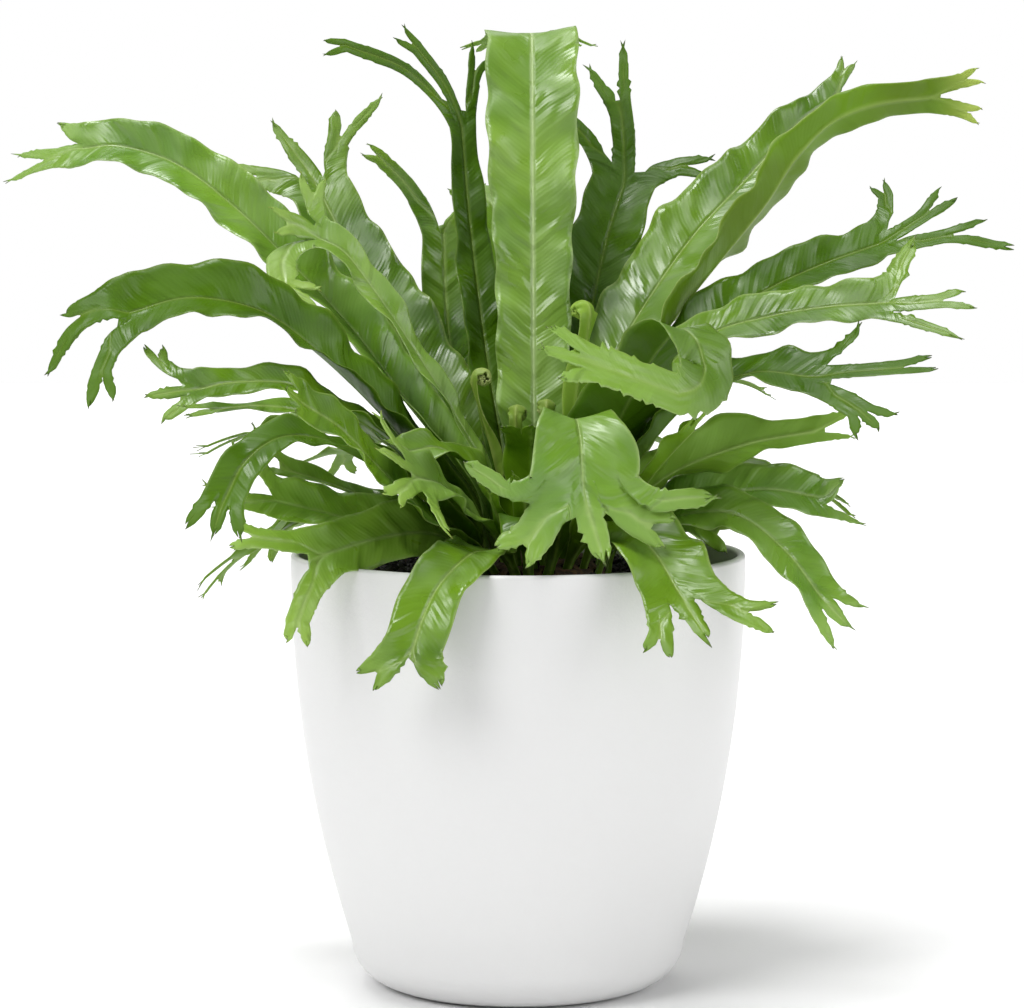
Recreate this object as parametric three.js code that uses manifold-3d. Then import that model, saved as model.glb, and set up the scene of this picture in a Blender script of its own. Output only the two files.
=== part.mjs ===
// Potted crested bird's nest fern: a rosette of strap fronds whose ends fork and curl, in a plain round pot.
// Millimetres, +Z up. The origin is the centre of the pot's flat base. The viewer stands on the -Y side,
// so azimuth 0 points right, 90 away from the viewer, 180 left and 270 towards the viewer.

import * as THREE from "three";
import { mergeVertices } from "three/addons/utils/BufferGeometryUtils.js";
import Module from "manifold-3d";

const wasm = await Module();
wasm.setup();

// Driving dimensions

const GAP = 0.35;
const POT = {
  rim: 82.5, base: 60.8, height: 158, wall: 3, floor: 4, foot: 16, footInset: 18.4, bulge: 2.1, sides: 48,
  outerShares: [0, 0.14, 0.3, 0.48, 0.68, 1], innerShares: [0.2, 0.6],
};
const SOIL = { depth: 10, bevel: 0.4, mound: 2.5, rough: 0.7, rings: 5, sides: 28 };
const CROWN = { x: 6, radius: 28, seat: 141, shoulder: 148, top: 160, sides: 24, rings: 4 };
const ROOTS = { height: 147, spacing: 3.1, turn: 137.5, places: 74 };
const STIPE = { halfWidth: 1.9, halfThick: 1.0, straight: 9, clearance: 0.4, socketRows: 3 };
const BLADE = {
  places: [-1, 0, 1], edgeHalf: 0.36, ribHalf: 0.55, fold: 16, wave: 1.5, waveLength: 34, station: 12.5,
  flare: 50, rollFrom: 0.1, rollTo: 1,
};
const LOBE = { half: 0.36, steps: 3, forkSteps: 2, firstTurn: 0.55, widest: 0.8, point: 2.4, broad: 10 };
const CURL = { stepsPerTurn: 8, coreRadius: 0.3, coreWidth: 0.55 };

const colours = {
  pot: { color: 0xeceae6, roughness: 0.42, metalness: 0 },
  soil: { color: 0x1d1612, roughness: 1, metalness: 0 },
  crown: { color: 0x3a2a18, roughness: 0.95, metalness: 0 },
  young: { color: 0x9cc24a, roughness: 0.5, metalness: 0 },
  blade: { color: 0x4f8a2c, roughness: 0.42, metalness: 0 },
};

// Small helpers

const group = new THREE.Group();
const rad = THREE.MathUtils.degToRad;
const mix = THREE.MathUtils.lerp;
const smooth = (x, from, to) => THREE.MathUtils.smoothstep(x, from, to);

function toSolid(geometry) {
  const bare = geometry.index ? geometry.clone() : geometry;
  bare.deleteAttribute("normal");
  bare.deleteAttribute("uv");
  const merged = mergeVertices(bare, 1e-4);
  return new wasm.Manifold(new wasm.Mesh({
    numProp: 3,
    vertProperties: new Float32Array(merged.attributes.position.array),
    triVerts: new Uint32Array(merged.index.array),
  }));
}

function toGeometry(solid) {
  const mesh = solid.getMesh();
  const geometry = new THREE.BufferGeometry();
  geometry.setAttribute("position", new THREE.BufferAttribute(mesh.vertProperties, 3));
  geometry.setIndex(new THREE.BufferAttribute(mesh.triVerts, 1));
  return geometry;
}

function place(name, geometry, look) {
  const mesh = new THREE.Mesh(geometry, new THREE.MeshStandardMaterial(colours[look]));
  mesh.name = name;
  group.add(mesh);
}

// A lathe round +Z from [radius, height] pairs that run up the outside of the body
function turned(profile, sides) {
  const points = profile.map(([radius, height]) => new THREE.Vector2(radius, height));
  return new THREE.LatheGeometry(points, sides).rotateX(Math.PI / 2);
}

// Pot: a tapered, slightly bulging cup with a rounded foot and lip and a thin wall

function potRadius(height) {
  const up = THREE.MathUtils.clamp((height - POT.foot) / (POT.height - POT.foot), 0, 1);
  return POT.base + (POT.rim - POT.base) * (1 - (1 - up) ** POT.bulge);
}

function potProfile() {
  const outside = [[0, 0]];
  for (const turn of [0, 30, 60]) {
    const inset = POT.footInset * (1 - Math.sin(rad(turn)));
    outside.push([POT.base - inset, POT.foot * (1 - Math.cos(rad(turn)))]);
  }
  const lip = POT.wall / 2;
  for (const share of POT.outerShares) {
    const height = mix(POT.foot, POT.height - lip, share);
    outside.push([potRadius(height), height]);
  }
  const middle = POT.rim - lip;
  const mouth = [60, 120, 180].map((turn) => [
    middle + lip * Math.cos(rad(turn)),
    POT.height - lip + lip * Math.sin(rad(turn)),
  ]);
  return [...outside, ...mouth, ...insideWall(0).reverse(), [POT.base - POT.foot, POT.floor], [0, POT.floor]];
}

// The inner wall from the bottom up, or a surface that stands a gap clear of it
function insideWall(gap) {
  return POT.innerShares.map((share) => {
    const height = mix(POT.foot, POT.height, share);
    return [potRadius(height) - POT.wall - gap, height];
  });
}

// Soil: fills the pot to a little below the lip, with an uneven top and a flat well that the crown sits in

function soilHeight(radius, angle) {
  const rise = SOIL.mound * Math.cos((radius / POT.rim) * (Math.PI / 2));
  const lumps = Math.sin(5 * angle + radius * 0.31) + Math.sin(3 * angle - radius * 0.53);
  return POT.height - SOIL.depth + rise + SOIL.rough * lumps;
}

function soilGeometry() {
  const brim = POT.height - SOIL.depth;
  const edge = potRadius(brim) - POT.wall - GAP;
  const profile = [[0, POT.floor + GAP], [POT.base - POT.foot - GAP, POT.floor + GAP], ...insideWall(GAP)];
  profile.push([edge - SOIL.bevel, brim]);
  for (let ring = SOIL.rings - 1; ring >= 0; ring -= 1) {
    profile.push([(edge * ring) / SOIL.rings, brim]);
  }
  const geometry = turned(profile, SOIL.sides);
  const position = geometry.attributes.position;
  for (let i = 0; i < position.count; i += 1) {
    const radius = Math.hypot(position.getX(i), position.getY(i));
    if (position.getZ(i) > brim - GAP && radius < edge - 2 * SOIL.bevel) {
      position.setZ(i, soilHeight(radius, Math.atan2(position.getY(i), position.getX(i))));
    }
  }
  return geometry;
}

// The well lies under the crown, which stands off the pot's axis
function soilSolid() {
  const profile = [[0, CROWN.seat - GAP], [CROWN.radius + GAP, CROWN.seat - GAP]];
  profile.push([CROWN.radius + GAP, POT.height], [0, POT.height]);
  const well = toSolid(turned(profile, CROWN.sides).translate(CROWN.x, 0, 0));
  return toSolid(soilGeometry()).subtract(well);
}

// Sheet: a thin blade laid out row by row, then thickened along its normals and closed round its edge.
// Both faces have the same triangles, so that a waved blade never crosses itself.

class Sheet {
  constructor() {
    this.points = [];
    this.halves = [];
    this.faces = [];
  }

  row(points, half) {
    return points.map((point, i) => {
      this.points.push(point);
      this.halves.push(Array.isArray(half) ? half[i] : half);
      return this.points.length - 1;
    });
  }

  // Joins two rows of any lengths, each listed from the blade's -B edge to its +B edge
  join(near, far) {
    let i = 0;
    let j = 0;
    while (i < near.length - 1 || j < far.length - 1) {
      const nextNear = near.length > 1 ? (i + 1) / (near.length - 1) : Infinity;
      const nextFar = far.length > 1 ? (j + 1) / (far.length - 1) : Infinity;
      if (j < far.length - 1 && (nextFar <= nextNear || i === near.length - 1)) {
        this.faces.push([near[i], far[j], far[j + 1]]);
        j += 1;
      } else {
        this.faces.push([near[i], far[j], near[i + 1]]);
        i += 1;
      }
    }
  }

  normals() {
    const normals = this.points.map(() => new THREE.Vector3());
    const ab = new THREE.Vector3();
    const ac = new THREE.Vector3();
    for (const [a, b, c] of this.faces) {
      ab.subVectors(this.points[b], this.points[a]);
      ac.subVectors(this.points[c], this.points[a]);
      ab.cross(ac);
      [a, b, c].forEach((corner) => normals[corner].add(ab));
    }
    return normals.map((normal) => normal.normalize());
  }

  close() {
    const count = this.points.length;
    const normals = this.normals();
    const position = [];
    for (const side of [1, -1]) {
      this.points.forEach((point, i) => {
        position.push(...point.clone().addScaledVector(normals[i], side * this.halves[i]));
      });
    }
    const index = [];
    const edges = new Set(this.faces.flatMap(([a, b, c]) => [`${a} ${b}`, `${b} ${c}`, `${c} ${a}`]));
    for (const [a, b, c] of this.faces) {
      index.push(a, b, c, count + a, count + c, count + b);
      for (const [from, to] of [[a, b], [b, c], [c, a]]) {
        if (!edges.has(`${to} ${from}`)) {
          index.push(to, from, count + from, to, count + from, count + to);
        }
      }
    }
    const geometry = new THREE.BufferGeometry();
    geometry.setAttribute("position", new THREE.Float32BufferAttribute(position, 3));
    geometry.setIndex(index);
    return geometry;
  }
}

// Frame: a place on the blade with its heading t, its width direction b and its upper face n

class Frame {
  constructor(p, t, b) {
    this.p = p.clone();
    this.t = t.clone().normalize();
    this.b = b.clone().addScaledVector(this.t, -b.dot(this.t)).normalize();
    this.n = new THREE.Vector3().crossVectors(this.t, this.b);
  }

  turned(degrees) {
    return new Frame(this.p, this.t.clone().applyAxisAngle(this.n, rad(degrees)),
      this.b.clone().applyAxisAngle(this.n, rad(degrees)));
  }

  rolled(degrees) {
    return new Frame(this.p, this.t, this.b.clone().applyAxisAngle(this.t, rad(degrees)));
  }

  // Positive bends lift the tip towards the upper face
  bent(degrees) {
    return new Frame(this.p, this.t.clone().applyAxisAngle(this.b, rad(-degrees)), this.b);
  }

  at(across, up = 0) {
    return this.p.clone().addScaledVector(this.b, across).addScaledVector(this.n, up);
  }
}

// Roots stand on a sunflower spiral in the crown. Each frond takes the free place nearest to where it leaves it.

const rootPlaces = Array.from({ length: ROOTS.places }, (_, k) => {
  const angle = rad(ROOTS.turn * k);
  const radius = ROOTS.spacing * Math.sqrt(k + 0.5);
  return new THREE.Vector3(CROWN.x + radius * Math.cos(angle), radius * Math.sin(angle), ROOTS.height);
});

function takeRoot({ az, root }) {
  const wanted = new THREE.Vector3(CROWN.x + root * Math.cos(rad(az)), root * Math.sin(rad(az)), ROOTS.height);
  rootPlaces.sort((one, other) => one.distanceTo(wanted) - other.distanceTo(wanted));
  return rootPlaces.shift();
}

// Spine of a strap: from its root through [reach, height, side] in the upright plane of the frond's azimuth

function spine({ az, midrib, foot }) {
  const away = new THREE.Vector3(Math.cos(rad(az)), Math.sin(rad(az)), 0);
  const across = new THREE.Vector3(-away.y, away.x, 0);
  const points = midrib.map(([reach, height, side = 0]) => (
    new THREE.Vector3(CROWN.x, 0, height).addScaledVector(away, reach).addScaledVector(across, side)
  ));
  return { curve: new THREE.CatmullRomCurve3([foot, ...points]), across };
}

function bladeHalfWidth(frond, t, length) {
  const { width, flare = BLADE.flare, end = 0.85 } = frond;
  const grown = mix(STIPE.halfWidth, width / 2, smooth(t * length, STIPE.straight, flare));
  return grown * mix(1, end, smooth(t, 0.6, 1));
}

function strapFrame(frond, line, t) {
  const { roll = [0, 0], rollTo = BLADE.rollTo } = frond;
  const frame = new Frame(line.curve.getPointAt(t), line.curve.getTangentAt(t), line.across);
  return frame.rolled(mix(roll[0], roll[1], smooth(t, BLADE.rollFrom, rollTo)));
}

// One row across the strap at t, with points at the given places from -1 to 1. It is channelled along the
// midrib and waved along its edges.
function strapRow(frond, frame, length, t, places, extra = 0) {
  const half = bladeHalfWidth(frond, t, length) + extra;
  const fold = rad(frond.fold ?? BLADE.fold) * smooth(t * length, 0, BLADE.flare);
  const swell = BLADE.wave * smooth(t, 0.2, 0.5);
  return places.map((u) => {
    const phase = (2 * Math.PI * t * length) / BLADE.waveLength + (u > 0 ? frond.az : 0);
    const lift = Math.abs(u) * (half * Math.sin(fold) + swell * Math.sin(phase));
    return frame.at(u * half * Math.cos(fold), lift);
  });
}

function strapHalves(t, places) {
  const rib = mix(STIPE.halfThick, BLADE.ribHalf, smooth(t, 0.05, 0.35));
  const edge = mix(STIPE.halfThick, BLADE.edgeHalf, smooth(t, 0, 0.2));
  return places.map((u) => mix(rib, edge, Math.abs(u)));
}

// Crest: lobes that fork from the end of the strap. A lobe is [turn, length, width, bend, forks].

// What a lobe takes of the row that it grows from, column by column: its own width, split among its forks
function sharesOf([, , width, , forks]) {
  const shares = forks ? forks.flatMap(sharesOf) : Array(width < LOBE.broad ? 1 : 2).fill(1);
  const whole = shares.reduce((sum, share) => sum + share, 0);
  return shares.map((share) => (share * width) / whole);
}

// The places from -1 to 1 between which a row's columns lie
function placesOf(shares) {
  const whole = shares.reduce((sum, share) => sum + share, 0);
  let run = 0;
  return [-1, ...shares.map((share) => {
    run += share;
    return (2 * run) / whole - 1;
  })];
}

function lobeHalfWidth(base, width, pointed, s) {
  const body = mix(base, width / 2, smooth(s, 0, LOBE.widest));
  return pointed ? body * Math.max(1 - s ** LOBE.point, 0) : body;
}

function growLobe(sheet, start, row, lobe) {
  const [turn, length, width, bend = 0, forks] = lobe;
  const places = placesOf(sharesOf(lobe));
  const base = sheet.points[row[0]].distanceTo(sheet.points[row[row.length - 1]]) / 2;
  const steps = forks ? LOBE.forkSteps : LOBE.steps;
  let heading = start.turned(turn * LOBE.firstTurn);
  let near = row;
  let frame = heading;
  for (let step = 1; step <= steps; step += 1) {
    const s = step / steps;
    heading = heading.bent(bend / steps);
    heading.p.addScaledVector(heading.t, length / steps);
    frame = heading.turned(turn * (Math.min(1.5 * s, 1) - LOBE.firstTurn));
    const half = lobeHalfWidth(base, width, !forks, s);
    const points = half > 0 ? places.map((place) => frame.at(half * place)) : [frame.at(0)];
    const far = sheet.row(points, LOBE.half);
    sheet.join(near, far);
    near = far;
    if (step === 1) {
      heading = heading.turned(turn * (1 - LOBE.firstTurn));
    }
  }
  if (forks) {
    growForks(sheet, frame, near, forks);
  }
}

function growForks(sheet, frame, row, forks) {
  let first = 0;
  for (const fork of forks) {
    const last = first + sharesOf(fork).length;
    const share = row.slice(first, last + 1);
    const middle = sheet.points[share[0]].clone().lerp(sheet.points[share[share.length - 1]], 0.5);
    growLobe(sheet, new Frame(middle, frame.t, frame.b), share, fork);
    first = last;
  }
}

// Crozier head: the still rolled tip of a young frond, wound towards its upper face
function growCurl(sheet, start, row, { radius, turns, width }) {
  let near = row;
  let frame = start;
  const steps = Math.round(turns * CURL.stepsPerTurn);
  for (let step = 1; step <= steps; step += 1) {
    const s = step / steps;
    const turn = (360 * turns) / steps;
    frame = frame.bent(turn);
    frame.p.addScaledVector(frame.t, rad(turn) * radius * mix(1, CURL.coreRadius, s));
    const half = (width / 2) * mix(1, CURL.coreWidth, s);
    const far = sheet.row([frame.at(-half), frame.at(0), frame.at(half)], LOBE.half);
    sheet.join(near, far);
    near = far;
  }
}

// Frond: stipe, strap and crest in one sheet

function frondGeometry(frond) {
  const line = spine(frond);
  const length = line.curve.getLength();
  const stations = Math.round(length / BLADE.station);
  const sheet = new Sheet();
  const crestPlaces = frond.curl ? BLADE.places : placesOf(frond.crest.flatMap(sharesOf));
  let near = null;
  let frame = null;
  for (let station = 0; station <= stations; station += 1) {
    const t = station / stations;
    const places = station === stations ? crestPlaces : BLADE.places;
    frame = strapFrame(frond, line, t);
    const far = sheet.row(strapRow(frond, frame, length, t, places), strapHalves(t, places));
    if (near) {
      sheet.join(near, far);
    }
    near = far;
  }
  if (frond.curl) {
    growCurl(sheet, frame, near, frond.curl);
  } else {
    growForks(sheet, frame, near, frond.crest);
  }
  return sheet.close();
}

// The plain hole that a stipe stands in: the foot of the same strap, a little larger all round
function socketSolid(frond) {
  const line = spine(frond);
  const length = line.curve.getLength();
  const stations = Math.round(length / BLADE.station);
  const sheet = new Sheet();
  let near = null;
  for (let row = 0; row <= STIPE.socketRows; row += 1) {
    const t = row / stations;
    const frame = strapFrame(frond, line, t);
    if (row === 0) {
      frame.p.addScaledVector(frame.t, -2 * STIPE.clearance);
    }
    const halves = strapHalves(t, BLADE.places).map((half) => half + STIPE.clearance);
    const far = sheet.row(strapRow(frond, frame, length, t, BLADE.places, STIPE.clearance), halves);
    if (near) {
      sheet.join(near, far);
    }
    near = far;
  }
  return toSolid(sheet.close());
}

// Crown: the short upright rootstock that the fronds grow from

function crownSolid(fronds) {
  const profile = [[0, CROWN.seat], [CROWN.radius, CROWN.seat], [CROWN.radius, CROWN.shoulder]];
  for (let ring = 1; ring < CROWN.rings; ring += 1) {
    const turn = rad((90 * ring) / CROWN.rings);
    const height = mix(CROWN.shoulder, CROWN.top, Math.sin(turn));
    profile.push([CROWN.radius * Math.cos(turn), height]);
  }
  profile.push([0, CROWN.top]);
  let crown = toSolid(turned(profile, CROWN.sides).translate(CROWN.x, 0, 0));
  for (const frond of fronds) {
    crown = crown.subtract(socketSolid(frond));
  }
  return crown;
}

// Crest forms that return on several fronds

const forked = (length, droop = 0) => [
  [-30, length * 0.8, 7, droop],
  [2, length, 8, droop * 1.5],
  [32, length * 0.75, 7, droop],
];
const fan = (length, droop = 0) => [
  [-34, length * 0.5, 9, droop, [[-26, length * 0.5, 5, droop], [18, length * 0.5, 5, droop]]],
  [8, length * 0.45, 8, droop, [[-14, length * 0.55, 5, droop], [22, length * 0.5, 5, droop]]],
  [44, length * 0.7, 6, droop],
];
const antler = (length, droop = 0) => [
  [-22, length * 0.6, 8, droop, [[-20, length * 0.4, 5, droop], [20, length * 0.5, 5, droop]]],
  [30, length * 0.9, 7, droop],
];

// The fronds, youngest and most upright first. Roll tips a blade about its midrib: below 0 it shows a
// left-hand frond's upper face to the viewer, above 0 a right-hand one's.

const FRONDS = [
  // Upright in the middle
  { az: 91, root: 7, width: 32, roll: [0, 0], end: 1.0, fold: 8, flare: 70,
    midrib: [[10, 176], [17, 220], [25, 262], [32, 300], [40, 328], [50, 345], [62, 347]],
    crest: [
      [-30, 12, 7, -30, [[-30, 8, 4, 0], [6, 8, 4, 0]]],
      [4, 8, 8, -40],
      [34, 12, 7, -30, [[-10, 8, 4, 0], [24, 8, 4, 0]]],
    ] },
  { az: 122, root: 12, width: 15, roll: [-5, -12], end: 0.7, rollTo: 0.5,
    midrib: [[19, 182], [34, 230], [45, 276], [51, 312]],
    crest: [
      [-14, 20, 5, -10, [[-16, 8, 3, 0], [10, 12, 3, 0]]],
      [34, 34, 5, 0, [[-12, 8, 3, 0], [12, 8, 3, 0]]],
      [66, 52, 5, 0, [[-12, 8, 3, 0], [10, 8, 3, 0]]],
    ] },
  { az: 115, root: 20, width: 20, roll: [0, -18], end: 0.85, flare: 24, rollTo: 0.5,
    midrib: [[28, 168], [50, 190], [70, 218], [79, 246], [81, 272]],
    crest: [[-20, 9, 8, 0], [42, 36, 6, 0, [[-12, 5, 3, 0], [12, 5, 3, 0]]]] },
  { az: 66, root: 14, width: 30, roll: [0, 18], end: 0.8, rollTo: 0.5,
    midrib: [[24, 178], [40, 214], [55, 248], [72, 276], [84, 290]],
    crest: [
      [-50, 18, 9, 0, [[-22, 10, 5, 0], [6, 12, 5, 0]]],
      [18, 30, 9, 15, [[-10, 30, 5, 0], [18, 24, 5, 0]]],
      [58, 34, 7, 10, [[-14, 8, 4, 0], [12, 8, 4, 0]]],
    ] },
  // Right, upper
  { az: 38, root: 10, width: 31, roll: [0, 42], end: 0.45, fold: 12, flare: 40,
    midrib: [[15, 186], [28, 214], [51, 245], [76, 272], [102, 293], [128, 314], [146, 324]],
    crest: [[-30, 16, 5, 0], [16, 14, 6, 0, [[-16, 5, 3, 10], [16, 5, 3, 10]]]] },
  { az: 16, root: 13, width: 21, roll: [0, -75], end: 0.6,
    midrib: [[18, 178], [32, 212], [52, 241], [71, 264], [88, 284], [100, 301], [114, 314], [134, 321], [152, 323]],
    crest: [
      [-18, 14, 6, -30, [[-14, 6, 3, -10], [14, 6, 3, -10]]],
      [10, 14, 6, -40, [[-14, 6, 3, -10], [14, 6, 3, -10]]],
    ] },
  { az: 6, root: 17, width: 25, roll: [0, 42], end: 0.75, rollTo: 0.7,
    midrib: [[24, 168], [40, 206], [61, 236], [84, 252], [106, 262], [126, 269]],
    crest: [
      [-10, 22, 7, 0, [[-18, 26, 6, -12], [14, 16, 5, 0]]],
      [16, 20, 6, 0, [[-8, 14, 5, 0], [18, 14, 4, 0]]],
      [66, 18, 6, 0, [[-14, 6, 3, 0], [14, 6, 3, 0]]],
    ] },
  // Right, middle
  { az: -16, root: 14, width: 19, roll: [0, 48], end: 0.9, rollTo: 0.7,
    midrib: [[20, 177], [40, 215], [64, 237], [86, 244], [110, 248], [124, 249]],
    crest: [
      [-22, 34, 5, -6],
      [2, 22, 7, 0, [[-14, 14, 4, 0], [16, 9, 5, 0]]],
      [70, 26, 9, 0],
    ] },
  { az: -28, root: 18, width: 22, roll: [0, 30], end: 0.95,
    midrib: [[26, 168], [44, 196], [64, 216], [87, 225], [108, 224]],
    crest: [
      [-26, 26, 10, -6, [[-26, 12, 5, 0], [0, 13, 5, 0], [26, 12, 5, 0]]],
      [16, 30, 9, 0, [[-12, 14, 5, 0], [14, 12, 5, 0]]],
      [62, 20, 6, 20],
    ] },
  { az: -8, root: 20, width: 28, roll: [-10, -60], end: 0.35,
    midrib: [[27, 164], [46, 185], [76, 198], [101, 203]],
    crest: [[-10, 16, 4, 0], [14, 14, 3, 0]] },
  { az: -44, root: 20, width: 18, roll: [0, 20], end: 0.9, flare: 40,
    midrib: [[28, 161], [45, 177], [62, 194], [76, 206]],
    crest: forked(14, 0) },
  // Right, low
  { az: -28, root: 21, width: 19, roll: [5, 36], flare: 24, rollTo: 0.5,
    midrib: [[30, 160], [50, 171], [79, 175], [99, 163], [113, 147]],
    crest: [[-14, 18, 5, 0], [6, 14, 6, 0], [30, 11, 5, 0]] },
  { az: 5, root: 22, width: 20, roll: [0, 54], flare: 24, rollTo: 0.5,
    midrib: [[30, 160], [54, 174], [83, 180], [104, 177]],
    crest: [[-12, 18, 3, -5], [34, 10, 6, 10]] },
  // Front
  { az: 311, root: 15, width: 38, roll: [0, 0], end: 0.55, fold: 10, flare: 24,
    midrib: [[22, 171], [36, 195], [51, 217], [66, 235], [76, 241], [84, 237], [88, 229]],
    crest: [[-76, 22, 18, 0, [[0, 38, 17, 0, [[-16, 16, 7, 0], [4, 21, 6, 0], [26, 14, 6, 0]]]]]] },
  { az: 280, root: 17, width: 15, roll: [0, 0], end: 2.5, flare: 24,
    midrib: [[26, 164], [40, 184, 1], [53, 203, 2], [62, 210, 3], [69, 206, 3], [73, 198, 3], [75, 190, 3]],
    crest: [
      [-120, 30, 8, 8],
      [-34, 22, 14, 0, [[-14, 12, 7, 0], [18, 8, 6, 0]]],
      [14, 30, 12, 0],
      [46, 18, 12, 0, [[-14, 11, 6, 0], [14, 12, 6, 0]]],
      [90, 34, 10, 0],
    ] },
  { az: 300, root: 20, width: 28, roll: [0, 12], end: 1.0, rollTo: 0.7,
    midrib: [[28, 160], [47, 171], [62, 173], [81, 165], [96, 153]],
    crest: [
      [-18, 18, 9, -5, [[-24, 9, 5, 0], [8, 10, 5, 0]]],
      [6, 24, 9, -5],
      [30, 18, 11, 0, [[-6, 14, 6, 0], [34, 11, 5, 0]]],
    ] },
  { az: 240, root: 15, width: 17, roll: [0, -48], end: 1.2, look: "young", flare: 70, rollTo: 0.7,
    midrib: [[27, 166], [50, 178], [66, 187], [80, 190]],
    crest: [
      [-70, 20, 7, 10],
      [-24, 20, 7, 0],
      [20, 20, 8, -8, [[-16, 7, 5, 0], [14, 7, 4, 0]]],
      [74, 22, 7, 0],
    ] },
  { az: 268, root: 10, width: 23, roll: [0, 0], end: 0.8,
    midrib: [[15, 166], [21, 182], [28, 196], [35, 202]],
    crest: forked(9, -15) },
  { az: 222, root: 10, width: 18, roll: [0, -30], end: 0.8, flare: 24, rollTo: 0.5,
    midrib: [[15, 170], [22, 184], [34, 193], [48, 198], [58, 197]],
    crest: [[-24, 8, 5, 0], [22, 9, 5, 0]] },
  { az: 253, root: 17, width: 8, roll: [0, -20], end: 0.9, flare: 34,
    midrib: [[27, 164], [42, 173], [52, 181]],
    crest: [[-14, 8, 4, 0], [14, 8, 4, 0]] },
  { az: 266, root: 18, width: 11, roll: [0, 0], end: 0.9, flare: 40,
    midrib: [[27, 163], [38, 173], [48, 184]],
    crest: [[-14, 7, 4, 0], [14, 7, 4, 0]] },
  { az: 250, root: 20, width: 20, roll: [0, -18], end: 1.0, flare: 34, rollTo: 0.7,
    midrib: [[30, 159], [54, 163], [80, 163, 3], [94, 155, -1], [101, 145, -4], [104, 136, -6]],
    crest: [[-22, 12, 11, -5, [[-16, 6, 5, 0], [14, 5, 5, 0]]], [42, 13, 11, -5]] },
  // Left, upper
  { az: 134, root: 16, width: 31, roll: [-5, -36], end: 0.75,
    midrib: [[24, 172], [40, 198], [56, 216], [78, 240], [100, 265], [118, 288]],
    crest: [
      [-30, 16, 9, 12, [[-26, 24, 5, 20], [16, 12, 6, 0]]],
      [10, 14, 7, 0, [[-6, 22, 5, 0]]],
      [48, 16, 11, 0, [[-18, 16, 5, 0], [14, 14, 5, 0], [42, 14, 4, 0]]],
    ] },
  { az: 168, root: 13, width: 26, roll: [-5, -60], end: 0.75, flare: 24,
    midrib: [[19, 175], [31, 192], [50, 215], [68, 238], [91, 262], [113, 283], [136, 299], [158, 305], [170, 304]],
    crest: [[-30, 10, 6, 0], [-4, 11, 9, -8, [[-6, 18, 4, -8], [16, 20, 4, -12]]]] },
  { az: 171, root: 10, width: 11, roll: [0, -38], end: 1.3, look: "young",
    midrib: [[16, 182], [31, 210], [47, 235], [61, 255], [71, 267], [79, 271]],
    crest: [
      [-40, 12, 8, 20, [[-18, 9, 4, 0], [22, 9, 4, 0]]],
      [30, 12, 10, 20, [[-20, 9, 4, 0], [24, 9, 4, 0]]],
      [118, 30, 12, 0, [[-30, 10, 5, 0], [4, 13, 5, 0], [34, 10, 5, 0]]],
    ] },
  { az: 197, root: 16, width: 30, roll: [-5, -48], end: 0.85, flare: 28,
    midrib: [[25, 169], [38, 187], [58, 210], [80, 231], [101, 246], [127, 251], [148, 246]],
    crest: [
      [-6, 16, 12, -25, [[-8, 7, 6, -20], [34, 24, 6, -20]]],
      [48, 22, 7, -10, [[-14, 13, 5, -10], [14, 11, 4, -10]]],
    ] },
  // Left, middle
  { az: 206, root: 16, width: 16, roll: [0, -40],
    midrib: [[28, 169], [53, 197], [80, 214], [96, 221], [118, 222], [130, 220]],
    crest: [
      [-66, 14, 6, 0, [[-16, 6, 4, 0], [16, 7, 4, 0]]],
      [-4, 20, 6, 0],
      [24, 20, 6, -6],
    ] },
  { az: 215, root: 19, width: 10, roll: [0, -25], end: 0.6,
    midrib: [[28, 165], [57, 190], [82, 206], [98, 212], [117, 215], [133, 214]],
    crest: [[-8, 12, 3, 0], [10, 14, 4, 0]] },
  { az: 224, root: 20, width: 16, roll: [0, -35], flare: 28,
    midrib: [[29, 161], [63, 186], [85, 197], [103, 204], [122, 205], [137, 197], [144, 187]],
    crest: [[-14, 16, 6, -12], [6, 14, 6, -12], [30, 13, 6, -10]] },
  { az: 233, root: 20, width: 16, roll: [0, -60], end: 1.05, flare: 40, rollTo: 0.6,
    midrib: [[30, 158], [60, 174], [84, 190], [111, 209], [130, 218]],
    crest: [[-16, 9, 5, 0], [-2, 11, 5, 6], [14, 8, 5, 10]] },
  // Left, low
  { az: 190, root: 21, width: 12, roll: [-5, -24], rollTo: 0.5,
    midrib: [[30, 159], [51, 174], [70, 182], [88, 188]],
    crest: [[-34, 22, 6, 20], [14, 18, 6, 0]] },
  { az: 203, root: 23, width: 23, roll: [-8, -42], rollTo: 0.5,
    midrib: [[30, 157], [54, 167], [78, 174], [97, 179]],
    crest: [
      [-58, 16, 6, 10],
      [4, 18, 9, 0, [[-14, 12, 5, 0], [24, 10, 5, 0]]],
    ] },
  { az: 219, root: 23, width: 23, roll: [-6, -54], flare: 24, rollTo: 0.5,
    midrib: [[30, 157], [46, 167], [70, 167], [93, 163]],
    crest: [
      [-14, 28, 9, 12, [[-16, 10, 5, 0], [16, 13, 5, -10]]],
      [42, 28, 9, -10, [[-12, 8, 5, 0], [14, 8, 5, 0]]],
    ] },
  // Far side
  { az: 84, root: 14, width: 26, roll: [0, 0], end: 0.8, flare: 34,
    midrib: [[26, 170], [46, 196], [70, 220], [96, 234], [112, 230]],
    crest: forked(20, -20) },
  { az: 100, root: 16, width: 20, roll: [0, 0], end: 0.8,
    midrib: [[25, 178], [42, 212], [60, 244], [73, 268], [86, 280]],
    crest: fan(24, -15) },
  { az: 52, root: 20, width: 24, roll: [0, 12], flare: 40, rollTo: 0.5,
    midrib: [[28, 164], [50, 190], [78, 212], [104, 216]],
    crest: antler(28, -15) },
  { az: 70, root: 21, width: 19, roll: [0, 0], flare: 28,
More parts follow.
